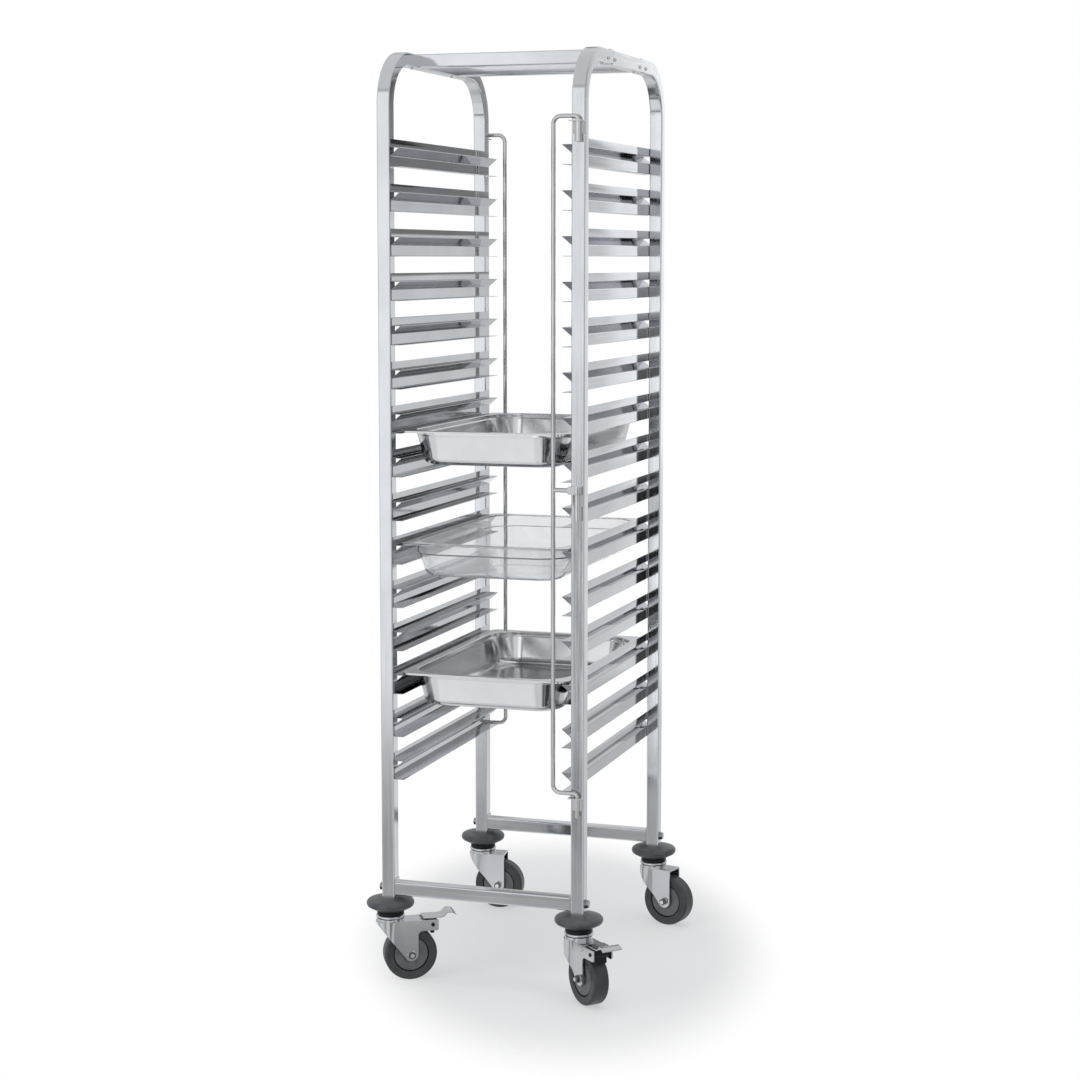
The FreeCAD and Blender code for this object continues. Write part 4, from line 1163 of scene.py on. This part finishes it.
backwards = world_math("MULTIPLY", towards.outputs["Y"], -1)
from_rear = world_math("ARCTAN2", towards.outputs["X"], towards.outputs["Y"])
from_front = world_math("ARCTAN2", towards.outputs["X"], backwards)


def ramp(value, low, high):
    """Rises smoothly from nothing at the low value to one at the high value."""
    node = nodes.new("ShaderNodeMapRange")
    node.interpolation_type = "SMOOTHSTEP"
    node.inputs["From Min"].default_value = low
    node.inputs["From Max"].default_value = high
    links.new(value, node.inputs["Value"])
    return node.outputs["Result"]


def card(light, around, sides, heights, level, soft):
    """A card or flag in the studio, on a ball round the trolley: its level shows between two
    angles across, in degrees from the front or the rear, and two angles up."""
    left, right = (math.radians(angle) for angle in sides)
    edge = math.radians(soft)
    inside = ramp(around, right + edge, right)
    mask = world_math("MULTIPLY", ramp(around, left, left + edge), inside)
    low, high = (math.sin(math.radians(angle)) for angle in heights)
    rise = math.sin(edge)
    mask = world_math("MULTIPLY", mask, ramp(towards.outputs["Z"], low, low + rise))
    mask = world_math("MULTIPLY", mask, ramp(towards.outputs["Z"], high + rise, high))
    change = world_math("MULTIPLY", mask, world_math("SUBTRACT", level, light))
    return world_math("ADD", light, change)


# Each card's side, its angles across and its angles up, its level and its soft edge.
ROOM_LEVEL = 0.42
CARDS = (
    (from_rear, (-180, 180), (30, 90), 0.78, 6),
    (from_rear, (-180, 180), (-95, -42), 0.82, 6),
    (from_rear, (-80, 80), (-42, 30), 0.66, 3),
    (from_rear, (-22, 14), (9, 28), 0.85, 3),
    (from_rear, (-20, -11), (15.2, 25), 0.12, 0.8),
    (from_rear, (-23, -19.2), (6.5, 14), 0.3, 0.8),
    (from_rear, (10, 16), (-42, -5), 1.0, 0.6),
    (from_rear, (10, 16), (-5.2, 12), 1.3, 0.6),
    (from_rear, (16, 18), (-42, 1.4), 0.86, 0.6),
    (from_rear, (16, 18), (1.6, 12), 0.6, 0.6),
    (from_rear, (10, 18), (-42, -10.8), 0.72, 0.6),
    (from_rear, (-12, 8), (-18.2, -13), 1.3, 0.8),
    (from_rear, (18.4, 42), (-42, 1), 0.9, 1.2),
    (from_rear, (18.4, 42), (1, 28), 0.5, 1.2),
    (from_rear, (18.4, 42), (1.4, 7.5), 0.27, 0.6),
    (from_rear, (16, 42), (12, 30), 1.0, 3),
    (from_rear, (20.6, 42), (3.9, 9), 0.01, 0.4),
    (from_front, (-80, 80), (-42, 28), 0.86, 5),
    (from_front, (-34, -18), (-42, 28), 1.16, 0.8),
    (from_front, (-34, -13), (-20, -13.6), 0.45, 3.4),
    (from_front, (-34, -13), (-50, -24), 1.0, 3),
    (from_front, (-18.4, -16), (-11.4, -5.4), 0.3, 0.5),
    (from_front, (-17.7, -16.8), (-14.9, -11.6), 0.02, 0.3),
    (from_front, (-16, 6), (-12.4, 28), 1.35, 0.5),
    (from_front, (8, 30), (-15, -2.6), 0.18, 4),
    (from_front, (8, 30), (-10.8, -5), 0.01, 1.2),
    (from_front, (20, 66), (-60, -20), 0.04, 6),
    (from_front, (-115, -84), (-60, -28), 0.25, 6),
    (from_front, (-125, -85), (-20, 35), 0.85, 3),
    (from_front, (75, 105), (-40, 40), 0.3, 3),
)
light = world_math("ADD", ROOM_LEVEL, 0)
for around, sides, heights, level, soft in CARDS:
    light = card(light, around, sides, heights, level, soft)
room = nodes.new("ShaderNodeBackground")
room.inputs["Color"].default_value = (0.97, 0.985, 1, 1)
links.new(light, room.inputs["Strength"])
paper_sky = nodes.new("ShaderNodeBackground")
paper_sky.inputs["Color"].default_value = (1, 1, 1, 1)
rays = nodes.new("ShaderNodeLightPath")
choose = nodes.new("ShaderNodeMixShader")
seen_white = world_math(
    "MAXIMUM", rays.outputs["Is Camera Ray"], rays.outputs["Is Transmission Ray"]
)
links.new(seen_white, choose.inputs["Fac"])
links.new(room.outputs["Background"], choose.inputs[1])
links.new(paper_sky.outputs["Background"], choose.inputs[2])
world_out = nodes.new("ShaderNodeOutputWorld")
links.new(choose.outputs["Shader"], world_out.inputs["Surface"])
bpy.context.scene.view_settings.view_transform = "Standard"


def soft_light(name, place, aim, size, power):
    """A large square soft light that points at a place."""
    data = bpy.data.lights.new(name, "AREA")
    data.shape = "SQUARE"
    data.size = size
    data.energy = power
    lamp = bpy.data.objects.new(name, data)
    bpy.context.collection.objects.link(lamp)
    lamp.location = place
    lamp.visible_glossy = False
    lamp.rotation_euler = (Vector(aim) - Vector(place)).to_track_quat("-Z", "Y").to_euler()


LIGHTS = (
    ("overhead", (0.3, -0.4, 4.2), (0, 0, 0.6), 3.0, 110),
    ("key", (-2.8, -3.2, 2.6), (0, 0, 0.9), 2.0, 60),
    ("fill", (3.4, -2.0, 1.8), (0, 0, 0.8), 2.4, 30),
)
for name, place, aim, size, power in LIGHTS:
    soft_light(name, place, aim, size, power)

CAMERA_PLACE = (1.3816, -4.1807, 1.3535)
CAMERA_TILT = 84.071
CAMERA_HEADING = 17.973
CAMERA_SENSOR = 36
CAMERA_LENS = 76.27
CAMERA_SHIFT = -0.04
view = bpy.data.cameras.new("view")
view.sensor_width = CAMERA_SENSOR
view.lens = CAMERA_LENS
view.shift_y = CAMERA_SHIFT
camera = bpy.data.objects.new("view", view)
bpy.context.collection.objects.link(camera)
camera.location = CAMERA_PLACE
camera.rotation_euler = (math.radians(CAMERA_TILT), 0, math.radians(CAMERA_HEADING))
bpy.context.scene.camera = camera

low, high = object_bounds()
